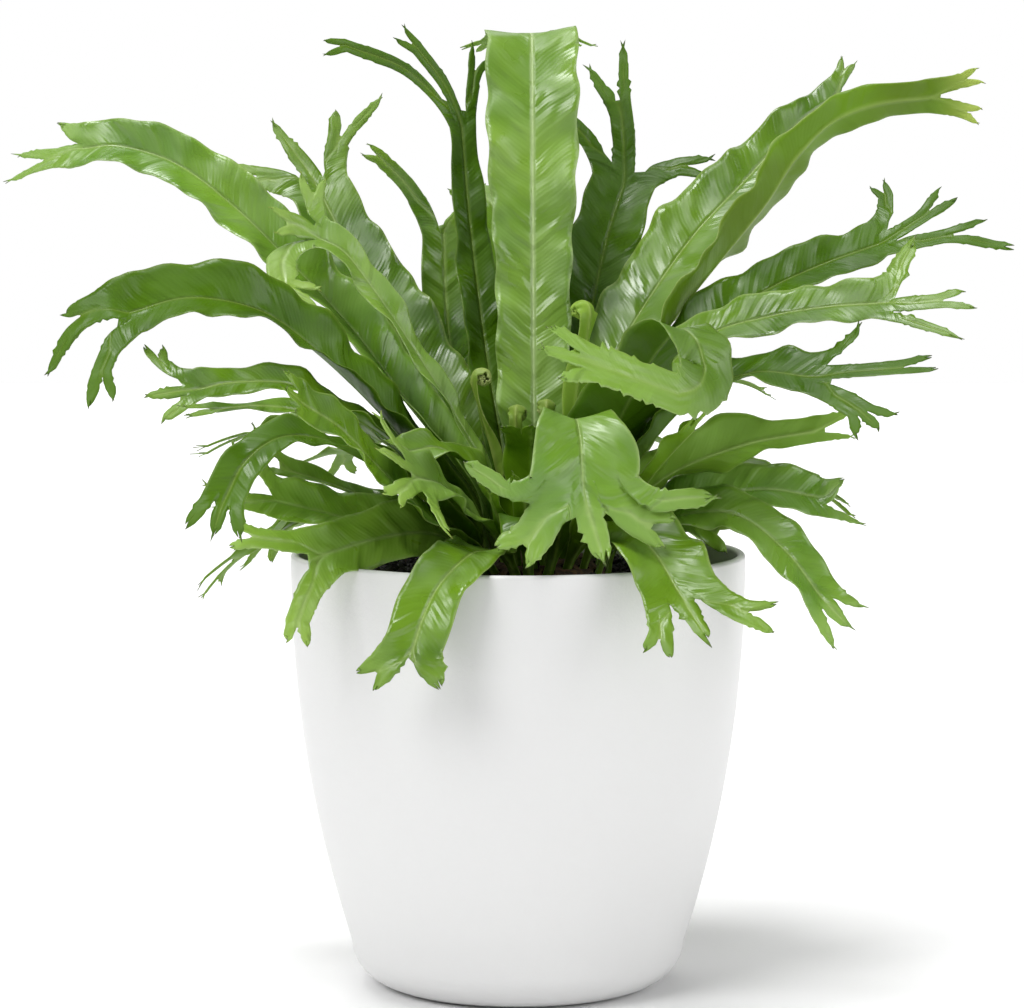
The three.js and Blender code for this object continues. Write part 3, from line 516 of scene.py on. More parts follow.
# Youngest and most upright first. A midrib lists reach, height and side in the plane of the azimuth.
FRONDS: tuple[Frond, ...] = (
    # Upright in the middle
    Frond(91, 7, 32, [[10, 176], [17, 220], [25, 262], [32, 300], [40, 328], [50, 345], [62, 347]],
          [[-30, 12, 7, -30, pair(-30, 6, 8, 4)], [4, 8, 8, -40], [34, 12, 7, -30, pair(-10, 24, 8, 4)]],
          end=1.0, fold=8, flare=70, waist=0.8, look=Look.RIBBED),
    Frond(122, 12, 15, [[19, 182], [34, 230], [45, 276], [51, 312]],
          [[-14, 20, 5, -10, [[-16, 8, 3], [10, 12, 3]]], [34, 34, 5, 0, pair(-12, 12, 8, 3)],
           [66, 52, 5, 0, pair(-12, 10, 8, 3)]], roll=(-5, -12), end=0.7, roll_to=0.5, look=Look.DEEP),
    Frond(115, 20, 20, [[28, 168], [50, 190], [70, 218], [79, 246], [81, 272]],
          [[-20, 9, 8], [42, 36, 6, 0, pair(-12, 12, 5, 3)]], roll=(0, -18), flare=24, roll_to=0.5),
    Frond(66, 14, 30, [[24, 178], [40, 214], [55, 248], [72, 276], [84, 290]],
          [[-50, 18, 9, 0, [[-22, 10, 5], [6, 12, 5]]], [18, 30, 9, 15, [[-10, 30, 5], [18, 24, 5]]],
           [58, 34, 7, 10, pair(-14, 12, 8, 4)]], roll=(0, 18), end=0.8, roll_to=0.5, look=Look.DEEP),
    # Right, upper
    Frond(38, 10, 31, [[15, 186], [28, 214], [51, 245], [76, 272], [102, 293], [128, 314], [146, 324]],
          [[-30, 16, 5], [16, 14, 6, 0, pair(-16, 16, 5, 3, 10)]], roll=(0, 42), end=0.45, fold=12, flare=40),
    Frond(16, 13, 21,
          [[18, 178], [32, 212], [52, 241], [71, 264], [88, 284], [100, 301], [114, 314], [134, 321],
           [152, 323]],
          [[-18, 14, 6, -30, pair(-14, 14, 6, 3, -10)], [10, 14, 6, -40, pair(-14, 14, 6, 3, -10)]],
          roll=(0, -75), end=0.6, look=Look.TIPPED),
    Frond(6, 17, 25, [[24, 168], [40, 206], [61, 236], [84, 252], [106, 262], [126, 269]],
          [[-10, 22, 7, 0, [[-18, 26, 6, -12], [14, 16, 5]]], [16, 20, 6, 0, [[-8, 14, 5], [18, 14, 4]]],
           [66, 18, 6, 0, pair(-14, 14, 6, 3)]], roll=(0, 42), end=0.75, roll_to=0.7, look=Look.DEEP),
    # Right, middle
    Frond(-16, 14, 19, [[20, 177], [40, 215], [64, 237], [86, 244], [110, 248], [124, 249]],
          [[-22, 34, 5, -6], [2, 22, 7, 0, [[-14, 14, 4], [16, 9, 5]]], [70, 26, 9]], roll=(0, 48), end=0.9,
          roll_to=0.7),
    Frond(-28, 18, 22, [[26, 168], [44, 196], [64, 216], [87, 225], [108, 224]],
          [[-26, 26, 10, -6, [[-26, 12, 5], [0, 13, 5], [26, 12, 5]]],
           [16, 30, 9, 0, [[-12, 14, 5], [14, 12, 5]]], [62, 20, 6, 20]], roll=(0, 30), end=0.95,
          look=Look.DEEP),
    Frond(-8, 20, 28, [[27, 164], [46, 185], [76, 198], [101, 203]], [[-10, 16, 4], [14, 14, 3]],
          roll=(-10, -60), end=0.35, look=Look.FRESH),
    Frond(-44, 20, 18, [[28, 161], [45, 177], [62, 194], [76, 206]], forked(14), roll=(0, 20), end=0.9,
          flare=40),
    # Right, low
    Frond(-28, 21, 19, [[30, 160], [50, 171], [79, 175], [99, 163], [113, 147]],
          [[-14, 18, 5], [6, 14, 6], [30, 11, 5]], roll=(5, 36), flare=24, roll_to=0.5, look=Look.FRESH),
    Frond(5, 22, 20, [[30, 160], [54, 174], [83, 180], [104, 177]], [[-12, 18, 3, -5], [34, 10, 6, 10]],
          roll=(0, 54), flare=24, roll_to=0.5, look=Look.FRESH),
    # Front
    Frond(311, 15, 38, [[22, 171], [36, 195], [51, 217], [66, 235], [76, 241], [84, 237], [88, 229]],
          [[-76, 22, 18, 0, [[0, 38, 17, 0, [[-16, 16, 7], [4, 21, 6], [26, 14, 6]]]]]], end=0.55, fold=10,
          flare=24, notch=0.4, look=Look.CRESTED),
    Frond(280, 17, 15,
          [[26, 164], [40, 184, 1], [53, 203, 2], [62, 210, 3], [69, 206, 3], [73, 198, 3], [75, 190, 3]],
          [[-120, 30, 8, 8], [-34, 22, 14, 0, [[-14, 12, 7], [18, 8, 6]]], [14, 30, 12],
           [46, 18, 12, 0, [[-14, 11, 6], [14, 12, 6]]], [90, 34, 10]], end=2.5, flare=24, web=0.6,
          look=Look.FRESH),
    Frond(300, 20, 28, [[28, 160], [47, 171], [62, 173], [81, 165], [96, 153]],
          [[-18, 18, 9, -5, [[-24, 9, 5], [8, 10, 5]]], [6, 24, 9, -5],
           [30, 18, 11, 0, [[-6, 14, 6], [34, 11, 5]]]], roll=(0, 12), end=1.0, roll_to=0.7),
    Frond(240, 15, 17, [[27, 166], [50, 178], [66, 187], [80, 190]],
          [[-70, 20, 7, 10], [-24, 20, 7], [20, 20, 8, -8, [[-16, 7, 5], [14, 7, 4]]], [74, 22, 7]],
          roll=(0, -48), end=1.2, flare=70, roll_to=0.7, look=Look.TENDER),
    Frond(268, 10, 23, [[15, 166], [21, 182], [28, 196], [35, 202]], forked(9, -15), end=0.8),
    Frond(222, 10, 18, [[15, 170], [22, 184], [34, 193], [48, 198], [58, 197]], [[-24, 8, 5], [22, 9, 5]],
          roll=(0, -30), end=0.8, flare=24, roll_to=0.5),
    Frond(253, 17, 8, [[27, 164], [42, 173], [52, 181]], pair(-14, 14, 8, 4), roll=(0, -20), end=0.9,
          flare=34),
    Frond(266, 18, 11, [[27, 163], [38, 173], [48, 184]], pair(-14, 14, 7, 4), end=0.9, flare=40),
    Frond(250, 20, 20, [[30, 159], [54, 163], [80, 163, 3], [94, 155, -1], [101, 145, -4], [104, 136, -6]],
          [[-22, 12, 11, -5, [[-16, 6, 5], [14, 5, 5]]], [42, 13, 11, -5]], roll=(0, -18), end=1.0, flare=34,
          roll_to=0.7),
    # Left, upper
    Frond(134, 16, 31, [[24, 172], [40, 198], [56, 216], [78, 240], [100, 265], [118, 288]],
          [[-30, 16, 9, 12, [[-26, 24, 5, 20], [16, 12, 6]]], [10, 14, 7, 0, [[-6, 22, 5]]],
           [48, 16, 11, 0, [[-18, 16, 5], [14, 14, 5], [42, 14, 4]]]], roll=(-5, -36), end=0.75),
    Frond(168, 13, 26,
          [[19, 175], [31, 192], [50, 215], [68, 238], [91, 262], [113, 283], [136, 299], [158, 305],
           [170, 304]], [[-30, 10, 6], [-4, 11, 9, -8, [[-6, 18, 4, -8], [16, 20, 4, -12]]]], roll=(-5, -60),
          end=0.75, flare=24, fold=25, look=Look.FRESH),
    Frond(171, 10, 11, [[16, 182], [31, 210], [47, 235], [61, 255], [71, 267], [79, 271]],
          [[-40, 12, 8, 20, pair(-18, 22, 9, 4)], [30, 12, 10, 20, pair(-20, 24, 9, 4)],
           [118, 30, 12, 0, [[-30, 10, 5], [4, 13, 5], [34, 10, 5]]]], roll=(0, -38), end=1.3,
          look=Look.TENDER),
    Frond(197, 16, 30, [[25, 169], [38, 187], [58, 210], [80, 231], [101, 246], [127, 251], [148, 246]],
          [[-6, 16, 12, -25, [[-8, 7, 6, -20], [34, 24, 6, -20]]],
           [48, 22, 7, -10, [[-14, 13, 5, -10], [14, 11, 4, -10]]]], roll=(-5, -48), flare=28, fold=26,
          look=Look.DEEP),
    # Left, middle
    Frond(206, 16, 16, [[28, 169], [53, 197], [80, 214], [96, 221], [118, 222], [130, 220]],
          [[-66, 14, 6, 0, [[-16, 6, 4], [16, 7, 4]]], [-4, 20, 6], [24, 20, 6, -6]], roll=(0, -40)),
    Frond(215, 19, 10, [[28, 165], [57, 190], [82, 206], [98, 212], [117, 215], [133, 214]],
          [[-8, 12, 3], [10, 14, 4]], roll=(0, -25), end=0.6),
    Frond(224, 20, 16, [[29, 161], [63, 186], [85, 197], [103, 204], [122, 205], [137, 197], [144, 187]],
          [[-14, 16, 6, -12], [6, 14, 6, -12], [30, 13, 6, -10]], roll=(0, -35), flare=28, look=Look.DEEP),
    Frond(233, 20, 16, [[30, 158], [60, 174], [84, 190], [111, 209], [130, 218]],
          [[-16, 9, 5], [-2, 11, 5, 6], [14, 8, 5, 10]], roll=(0, -60), end=1.05, flare=40, roll_to=0.6),
    # Left, low
    Frond(190, 21, 12, [[30, 159], [51, 174], [70, 182], [88, 188]], [[-34, 22, 6, 20], [14, 18, 6]],
          roll=(-5, -24), roll_to=0.5),
    # These two get the pale look: painted light that stands in for the light they miss under the fronds above
    Frond(203, 23, 23, [[30, 157], [54, 167], [78, 174], [97, 179]],
          [[-58, 16, 6, 10], [4, 18, 9, 0, [[-14, 12, 5], [24, 10, 5]]]], roll=(-8, -42), roll_to=0.5,
          look=Look.PALE),
    Frond(219, 23, 23, [[30, 157], [46, 167], [70, 167], [93, 163]],
          [[-14, 28, 9, 12, [[-16, 10, 5], [16, 13, 5, -10]]], [42, 28, 9, -10, pair(-12, 14, 8, 5)]],
          roll=(-6, -54), flare=24, roll_to=0.5, look=Look.PALE),
    # Far side
    Frond(84, 14, 26, [[26, 170], [46, 196], [70, 220], [96, 234], [112, 230]], forked(20, -20), end=0.8,
          flare=34),
    Frond(100, 16, 20, [[25, 178], [42, 212], [60, 244], [73, 268], [86, 280]], fan(24, -15), end=0.8),
    Frond(52, 20, 24, [[28, 164], [50, 190], [78, 212], [104, 216]], antler(28, -15), roll=(0, 12), flare=40,
          roll_to=0.5),
    Frond(70, 21, 19, [[30, 162], [50, 182], [80, 198], [110, 192]], fan(28, -12), flare=28),
    Frond(132, 21, 22, [[30, 162], [52, 180], [80, 194], [106, 188]], antler(28, -15), flare=24),
    Frond(158, 20, 20, [[26, 168], [52, 192], [82, 204], [112, 198]], forked(26, -12), flare=24),
    Frond(30, 20, 20, [[28, 164], [56, 182], [86, 188], [112, 178]], fan(24, -12)),
    Frond(60, 22, 18, [[30, 158], [54, 170], [84, 171], [108, 158]], forked(24, -10), flare=24),
    Frond(92, 21, 17, [[28, 163], [54, 182], [84, 186], [112, 174]], antler(26, -12)),
    Frond(112, 22, 18, [[29, 159], [54, 168], [82, 168], [104, 152]], forked(24, -10), flare=24),
    Frond(148, 22, 20, [[30, 159], [58, 170], [86, 172], [112, 160]], fan(24, -12), flare=28),
    Frond(172, 22, 17, [[29, 159], [56, 168], [84, 169], [106, 156]], antler(24, -10), flare=28),
    # Short ones in front, low in the rosette
    Frond(285, 24, 16, [[28, 162], [36, 174], [46, 184], [58, 188]], pair(-24, 22, 9, 6), end=0.8, flare=34,
          look=Look.DEEP),
    Frond(265, 26, 16, [[30, 164], [42, 172], [54, 175], [64, 171]], pair(-24, 22, 9, 6), roll=(0, 20),
          end=0.8, flare=34, roll_to=0.6, look=Look.DEEP),
    Frond(350, 26, 16, [[30, 160], [42, 168], [54, 171], [64, 167]], pair(-24, 22, 9, 6), roll=(0, 50),
          end=0.8, flare=34, roll_to=0.6),
)

# Young fronds, each with its tip still rolled into a crozier
CROZIERS: tuple[Frond, ...] = (
    Frond(312, 9, 10, [[14, 182], [22, 215], [29, 245]], end=0.8, look=Look.YOUNG, curl=Curl(4.2, 1.2, 8)),
    Frond(200, 8, 6, [[12, 178], [18, 202], [24, 220]], end=0.8, look=Look.SCALY, curl=Curl(4.2, 1.0, 5)),
    Frond(238, 6, 5, [[9, 176], [12, 196], [13, 208]], roll=(0, 20), end=0.9, look=Look.SCALY,
          curl=Curl(3.8, 1.2, 6)),
    Frond(290, 6, 5, [[8, 178], [10, 198], [12, 210]], roll=(0, -20), end=0.9, look=Look.SCALY,
          curl=Curl(3.6, 1.2, 6)),
)

YOUNG_LOOKS = (Look.TENDER, Look.YOUNG, Look.SCALY)


@dataclass
class Stand:
    """A place on the blade with its heading t, its width direction b and its upper face n."""

    p: Vector
    t: Vector
    b: Vector

    def __post_init__(self) -> None:
        """Squares the width direction to the heading."""
        self.p = self.p.copy()
        self.t = self.t.normalized()
        self.b = (self.b - self.t * self.b.dot(self.t)).normalized()
        self.n = self.t.cross(self.b)

    def turned(self, degrees: float) -> "Stand":
        """The same place with its heading turned within the blade."""
        return Stand(self.p, spun(self.t, self.n, degrees), spun(self.b, self.n, degrees))

    def rolled(self, degrees: float) -> "Stand":
        """The same place rolled about its heading."""
        return Stand(self.p, self.t, spun(self.b, self.t, degrees))

    def bent(self, degrees: float) -> "Stand":
        """The same place with its heading lifted towards the upper face."""
        return Stand(self.p, spun(self.t, self.b, -degrees), self.b)

    def at(self, across: float, up: float = 0.0, ahead: float = 0.0) -> Vector:
        """A point beside, above or ahead of the place."""
        return self.p + self.b * across + self.n * up + self.t * ahead

    def offsets(self, point: Vector) -> tuple[float, float, float]:
        """A point's distances from the place along its width, its upper face and its heading."""
        away = point - self.p
        return away.dot(self.b), away.dot(self.n), away.dot(self.t)


def sway(run: float, length: float, lag: float) -> float:
    """A wave of that length at a run, from -1 to 1."""
    return math.sin(2 * math.pi * run / length + lag)


def through(points: list[Vector], i: int, s: float) -> Vector:
    """A point between points i and i + 1 of an evenly timed curve through four neighbours.

    Args:
        points: The curve's points, with one spare at both ends.
        i: The first point of the span.
        s: Share of the way along the span.

    Returns:
        The point.
    """
    a, b, c, d = points[i - 1:i + 3]
    square, cube = 2 * a - 5 * b + 4 * c - d, 3 * b - a - 3 * c + d
    return 0.5 * (2 * b + (c - a) * s + square * s ** 2 + cube * s ** 3)


class Spine:
    """A frond's midrib: a centripetal curve through its points, read by the distance along it."""

    STEPS = 600

    def __init__(self, frond: Frond, foot: Vector) -> None:
        """Runs the curve through the frond's points.

        Args:
            frond: The frond's sizes.
            foot: Where it leaves the crown.
        """
        angle = math.radians(frond.az)
        away = Vector((math.cos(angle), math.sin(angle), 0))
        self.across = Vector((-away.y, away.x, 0))
        points = [foot]
        for reach, height, *side in frond.midrib:
            aside = self.across * (side[0] if side else 0)
            points.append(Vector((CROWN_X, 0, height)) + away * reach + aside)
        ends = [2 * points[0] - points[1], *points, 2 * points[-1] - points[-2]]
        self.points = [self.span(ends, len(points) - 1, k / self.STEPS) for k in range(self.STEPS + 1)]
        self.run = [0.0]
        for one, other in zip(self.points, self.points[1:]):
            self.run.append(self.run[-1] + (other - one).length)
        self.length = self.run[-1]

    @staticmethod
    def span(ends: list[Vector], spans: int, t: float) -> Vector:
        """A point of the curve, with the knots spaced by the root of the points' distances.

        Args:
            ends: The curve's points, with one spare at both ends.
            spans: How many spans it has.
            t: Share of the way through the spans.

        Returns:
            The point.
        """
        i = min(int(t * spans), spans - 1)
        s = t * spans - i
        a, b, c, d = ends[i:i + 4]
        k0, k1, k2 = ((q - p).length ** 0.5 for p, q in ((a, b), (b, c), (c, d)))
        out = ((b - a) / k0 - (c - a) / (k0 + k1) + (c - b) / k1) * k1
        into = ((c - b) / k1 - (d - b) / (k1 + k2) + (d - c) / k2) * k1
        return b + out * s + (3 * (c - b) - 2 * out - into) * s ** 2 + (2 * (b - c) + out + into) * s ** 3

    def at(self, t: float) -> Stand:
        """Reads the curve by the distance along it.

        Args:
            t: Share of its length.

        Returns:
            The place.
        """
        run = t * self.length
        i = min(max(int(np.searchsorted(self.run, run)) - 1, 0), self.STEPS - 1)
        s = (run - self.run[i]) / (self.run[i + 1] - self.run[i])
        ahead = self.points[min(i + 3, self.STEPS)] - self.points[max(i - 2, 0)]
        return Stand(self.points[i].lerp(self.points[i + 1], s), ahead, self.across)


class Spot(NamedTuple):
    """A point of a blade.

    It holds its thickness above and below the sheet, its place across and along the frond in centimetres, its
    share of the way into the crest and its share of the way from the midrib to the edge.
    """

    point: Vector
    above: float
    below: float
    across: float
    along: float
    crest: float
    edge: float


@dataclass
class Blade:
    """A grown sheet with two faces: rows of points across it, thickened along its normals."""

    spots: list[Spot] = field(default_factory=list)
    faces: list[tuple[int, ...]] = field(default_factory=list)

    def grow(self, near: list[int], spots: list[Spot]) -> list[int]:
        """Adds a row of points, or a single one, and fills between it and the row before.

        Args:
            near: The row before, if any.
            spots: The new points, from the -b edge to the +b edge.

        Returns:
            The new points' numbers.
        """
        far = list(range(len(self.spots), len(self.spots) + len(spots)))
        self.spots += spots
        for i in range(len(near) - 1):
            self.faces.append((near[i], *(far[i:i + 2] if len(far) > 1 else far), near[i + 1]))
        return far

    def fill(self, left: list[int], right: list[int]) -> None:
        """Webs two fingers' edges, which start at one point."""
        for (a, b), (c, d) in zip(zip(left, left[1:]), zip(right, right[1:])):
            self.faces.append((a, b, d) if a == c else (a, b, d, c))

    def middle(self, row: list[int]) -> Vector:
        """The point halfway between a row's ends."""
        return self.spots[row[0]].point.lerp(self.spots[row[-1]].point, 0.5)

    def piece(self, name: str, look: Look) -> bpy.types.Object:
        """Thickens the sheet, closes its edge and makes the object.

        Args:
            name: The object's name.
            look: Its finish.

        Returns:
            The new object.
        """
        count = len(self.spots)
        flat = np.array([tuple(spot.point) for spot in self.spots])
        values = np.array([spot[1:] for spot in self.spots])
        normals = np.zeros_like(flat)
        for face in self.faces:
            corners = flat[list(face)]
            last = corners[3] if len(face) == 4 else corners[0]
            normals[list(face)] += np.cross(corners[2] - corners[0], last - corners[1])
        normals /= np.maximum(np.linalg.norm(normals, axis=1, keepdims=True), 1e-9)
        shell = np.vstack([flat + normals * values[:, :1], flat - normals * values[:, 1:2]])
        under = [tuple(count + i for i in reversed(face)) for face in self.faces]
        edges = {edge for face in self.faces for edge in zip(face, face[1:] + face[:1])}
        rim = [(b, a, count + a, count + b) for a, b in sorted(edges) if (b, a) not in edges]
        mesh = bpy.data.meshes.new(name)
        mesh.from_pydata((shell * MM).tolist(), [], self.faces + under + rim)
        sides = [0] * len(self.faces) + [1] * len(under) + [0] * len(rim)
        mesh.polygons.foreach_set("material_index", sides)
        mesh.polygons.foreach_set("use_smooth", [True] * len(sides))
        corners = np.zeros(len(mesh.loops), dtype=np.int32)
        mesh.loops.foreach_get("vertex_index", corners)
        for layer, first in (("blade", 2), ("growth", 4)):
            data = values[corners % count, first:first + 2].astype(np.float32)
            mesh.uv_layers.new(name=layer).data.foreach_set("uv", data.ravel())
        for side in Side:
            mesh.materials.append(LEAF_MATERIALS[look, side])
        return placed(name, mesh)


@dataclass
class FrondGrower:
    """Grows one frond: stipe, strap and crest."""

    frond: Frond
    foot: Vector
    name: str
    half_stem: float = 1.9
    straight: float = 9.0
    step: float = 2.0
    lobe_step: float = 1.2
    columns: int = 16
    wave: float = 1.5
    wave_length: float = 34.0
    ruffle: float = 0.6
    ruffle_length: float = 12.5
    buckle: float = 0.45
    buckles: tuple[float, ...] = (53.0, 27.0, 18.5)
    swell: float = 0.035
    swell_length: float = 21.0
    spare: float = 0.07
    edge: float = 0.12
    twist: float = 9.0
    cups: tuple[float, float] = (-0.05, 0.16)
    pitches: tuple[float, float] = (4.5, 8.0)
    taper: float = 0.4
    teeth_from: float = 0.84
    tooth: float = 1.8
    wound: float = 0.7

    def __post_init__(self) -> None:
        """Settles the columns and the frond's own random draws."""
        self.spine = Spine(self.frond, self.foot)
        self.blade = Blade()
        self.crest = tuple(Lobe.read(sizes) for sizes in self.frond.crest)
        shares = [share for lobe in self.crest for share in lobe.shares()] or [1.0]
        self.each = max(4, 2 * round(self.columns / len(shares) / 2))
        self.crest_places = self.places(shares)
        self.rng = random.Random(f"{SEED} {self.name}")
        self.lag = self.rng.uniform(0, 6)
        self.lags = [[self.rng.uniform(0, 6) for _ in self.buckles] for _ in range(2)]

    def build(self) -> None:
        """Grows the frond and lets it stand for its solid."""
        place, row = self.grow_strap()
        if self.frond.curl:
            self.grow_curl(place, row, self.frond.curl)
        else:
            self.grow_forks(place, row, self.crest, self.spine.length, 0.0)
        piece = self.blade.piece(f"{self.name}_blade", self.frond.look)
        adopt(piece, "frond_young" if self.frond.look in YOUNG_LOOKS else "frond", self.name)

    def half_width(self, t: float) -> float:
        """Works out half the strap's width.

        Args:
            t: Share of the strap's length.

        Returns:
            The half width.
        """
        run = t * self.spine.length
        broad = self.frond.width / 2 * (1 + self.spare * smooth(run, 20, 60))
        broad *= mix(self.frond.waist, 1, smooth(t, 0.45, 0.8))
        grown = mix(self.half_stem, broad, smooth(run, self.straight, self.frond.flare))
        return grown * mix(1, self.frond.end, smooth(t, 0.6, 1))

    def strap_place(self, t: float) -> Stand:
        """The strap's place at t, rolled as the frond is."""
        return self.spine.at(t).rolled(mix(*self.frond.roll, smooth(t, 0.1, self.frond.roll_to)))

    def places(self, shares: list[float]) -> list[float]:
        """Splits a row into columns.

        Args:
            shares: What each group of columns takes of it.

        Returns:
            The columns' places, from -1 to 1.
        """
        places, run = [-1.0], 0.0
        for share in shares:
            places += [2 * (run + share * k / self.each) / sum(shares) - 1 for k in range(1, self.each + 1)]
            run += share
        return places

    def spread(self, t: float) -> list[float]:
        """Spreads the columns over the strap: close at the midrib, in the crest's shares at its end.

        Args:
            t: Share of the strap's length.

        Returns:
            The columns' places, from -1 to 1.
        """
        tight, settle = 0.75 * smooth(t, 0.02, 0.15), smooth(t, 0.75, 0.97)
        last = len(self.crest_places) - 1
        even = [2 * i / last - 1 for i in range(last + 1)]
        return [mix(mix(u, u * abs(u), tight), v, settle) for u, v in zip(even, self.crest_places)]

    def grow_strap(self) -> tuple[Stand, list[int]]:
        """Grows the strap row by row.

        Returns:
            The strap's last place and row.
        """
        rows = round(self.spine.length / self.step)
        near: list[int] = []
        for k in range(rows + 1):
            near = self.blade.grow(near, self.strap_row(k / rows))
        return self.strap_place(1), near

    def strap_row(self, t: float) -> list[Spot]:
        """One row across the strap: channelled, waved and ruffled towards its edges.

        Args:
            t: Share of the strap's length.

        Returns:
            The row's points.
        """
        frond, run = self.frond, t * self.spine.length
        place, half = self.strap_place(t), self.half_width(t)
        fold = math.radians(frond.fold) * smooth(run, 0, 50)
        grown, broad = smooth(t, 0.2, 0.5), smooth(half, 3, 10)
        ruffle, buckle = self.ruffle * grown * broad, self.buckle * smooth(t, 0.15, 0.4) * broad
        rib = mix(1.0, 0.55, smooth(t, 0.05, 0.35))
        thin = mix(1.0, 0.36, smooth(t, 0, 0.2))
        spots = []
        for u in self.spread(t):
            out, side, lags = abs(u), frond.az if u > 0 else 0, self.lags[u > 0]
            lift = out ** 1.15 * half * math.sin(fold)
            lift += out ** 1.3 * self.wave * grown * sway(run, self.wave_length, side)
            lift += out ** 3 * ruffle * sway(run, self.ruffle_length, 1.7 * side + self.lag)
            lift += out ** 1.6 * buckle * sum(sway(run, *both) for both in zip(self.buckles, lags))
            wide = 1 + self.swell * smooth(half, 3, 9) * sway(run, self.swell_length, side + self.lag)
            point = place.at(u * wide * half * math.cos(fold), lift)
            edge = mix(thin, self.edge, smooth(out, 0.8, 1)) if t > 0.12 else thin * (1 - 0.6 * u ** 4)
            keel = rib * math.exp(-((u * half / 1.2) ** 2))
            spots.append(Spot(point, edge * 0.8, edge + keel * 0.7, u * half / 10, run / 10, 0.0, out))
        return spots

    def lobe_rows(self, lobe: Lobe) -> int:
        """How many rows a finger has."""
        return max(round(lobe.length * (1.0 if lobe.forks else self.teeth_from) / self.lobe_step), 4)

    def grow_forks(self, place: Stand, row: list[int], forks: tuple[Lobe, ...], run: float,
                   depth: float) -> None:
        """Gives each fork its share of the row, grows it and webs it to its neighbour.

        Args:
            place: The place at the middle of the row.
            row: The row's points.
            forks: The fingers, from the -b edge to the +b edge.
            run: Distance from the frond's root in millimetres.
            depth: Share of the way into the crest.
        """
        rows = [self.lobe_rows(fork) for fork in forks]
        webs = [0, *(int(self.frond.web * min(both)) for both in zip(rows, rows[1:])), 0]
        first, edges = 0, []
        for fork, *joined in zip(forks, webs, webs[1:]):
            last = first + self.each * len(fork.shares())
            share = row[first:last + 1]
            start = Stand(self.blade.middle(share), place.t, place.b)
            edges.append(self.grow_lobe(start, share, fork, run, depth, joined))
            first = last
        for web, left, right in zip(webs[1:], edges, edges[1:]):
            self.blade.fill(left[1][:web + 1], right[0][:web + 1])

    @staticmethod
    def lobe_places(start: Stand, lobe: Lobe) -> list[Stand]:
        """The finger's places at the solid's own steps, two or three, its start first.

        Args:
            start: Where it begins.
            lobe: Its sizes.

        Returns:
            The places.
        """
        steps = 2 if lobe.forks else 3
        heading = start.turned(lobe.turn * 0.55)
        places = [start]
        for step in range(1, steps + 1):
            heading = heading.bent(lobe.bend / steps)
            heading.p += heading.t * (lobe.length / steps)
            places.append(heading.turned(lobe.turn * (min(1.5 * step / steps, 1) - 0.55)))
            if step == 1:
                heading = heading.turned(lobe.turn * 0.45)
        return places

    def grow_lobe(self, start: Stand, row: list[int], lobe: Lobe, run: float, depth: float,
                  webs: list[int]) -> tuple[list[int], list[int]]:
        """Grows one finger from its share of a row.

        Args:
            start: The place at the middle of the share.
            row: The share's points.
            lobe: The finger's sizes.
            run: Distance from the frond's root in millimetres.
            depth: Share of the way into the crest.
            webs: How many rows are webbed on its -b and +b side.

        Returns:
            The points along its two edges.
        """
        spots = self.blade.spots
        places = self.lobe_places(start, lobe)
        steps, final = len(places) - 1, not lobe.forks
        base = (spots[row[0]].point - spots[row[-1]].point).length / 2
        carried = [(*start.offsets(spots[i].point), spots[i].across, spots[i].edge) for i in row]
        path = [start.p - start.t * (lobe.length / steps), *(place.p for place in places)]
        path.append(2 * path[-1] - path[-2])
        stop, narrow = (self.teeth_from, self.taper) if final else (1.0, 0.0)
        rows = self.lobe_rows(lobe)
        reach = mix(depth, 1.0, 0.8 if final else 0.45)
        twist, cup = self.rng.uniform(-self.twist, self.twist), self.rng.uniform(*self.cups)
        nicks = [(self.rng.uniform(*self.pitches), self.rng.random()) for _ in range(2)]
        near, edges = row, ([row[0]], [row[-1]])
        for k in range(1, rows + 1):
            s = stop * k / rows
            span = min(int(s * steps), steps - 1)
            part = s * steps - span
            one, other = places[span], places[span + 1]
            low, high = max(part - 0.05, 0), min(part + 0.05, 1)
            ahead = through(path, span + 1, high) - through(path, span + 1, low)
            if not final:
                ahead = ahead.normalized().lerp(one.t.lerp(other.t, part), smooth(s, 0.4, 1))
            place = Stand(through(path, span + 1, part), ahead, one.b.lerp(other.b, part)).rolled(twist * s)
            half = mix(base, lobe.width / 2, smooth(s, 0, 0.8)) * (1 - narrow * (s / stop) ** 2.4)
            settle, drawn = smooth(s * steps, 0, 1.0), smooth(s * lobe.length, 0, 16)
            deep = [(0.5 if final else self.frond.notch) * settle * self.nick(s * lobe.length / pitch, lag)
                    for pitch, lag in nicks]
            grown = []
            for v, (cb, cn, ct, off, edged) in zip(self.places(lobe.shares()), carried):
                across = mix(cb, v * half * (1 + deep[v > 0] * abs(v) ** 2), settle)
                point = place.at(across, mix(cn, half * cup * v * v, settle), mix(ct, 0, settle))
                thin = mix(0.3, 0.1, smooth(abs(v), 0.6, 1))
                keel = 0.12 * math.exp(-((v * half / 0.8) ** 2))
                edged = mix(edged, abs(v) * (0.5 if k <= webs[v > 0] else 1), drawn)
                grown.append(Spot(point, thin, thin + keel, mix(off, v * half / 10, drawn),
                                  (run + s * lobe.length) / 10, mix(depth, reach, s / stop), edged))
            near = self.blade.grow(near, grown)
            edges[0].append(near[0])
            edges[1].append(near[-1])
        run += lobe.length * stop
        if final:
            self.grow_teeth(place, near, half, lobe.length * (1 - stop), run)
        else:
            self.grow_forks(place, near, lobe.forks, run, reach)
        return edges

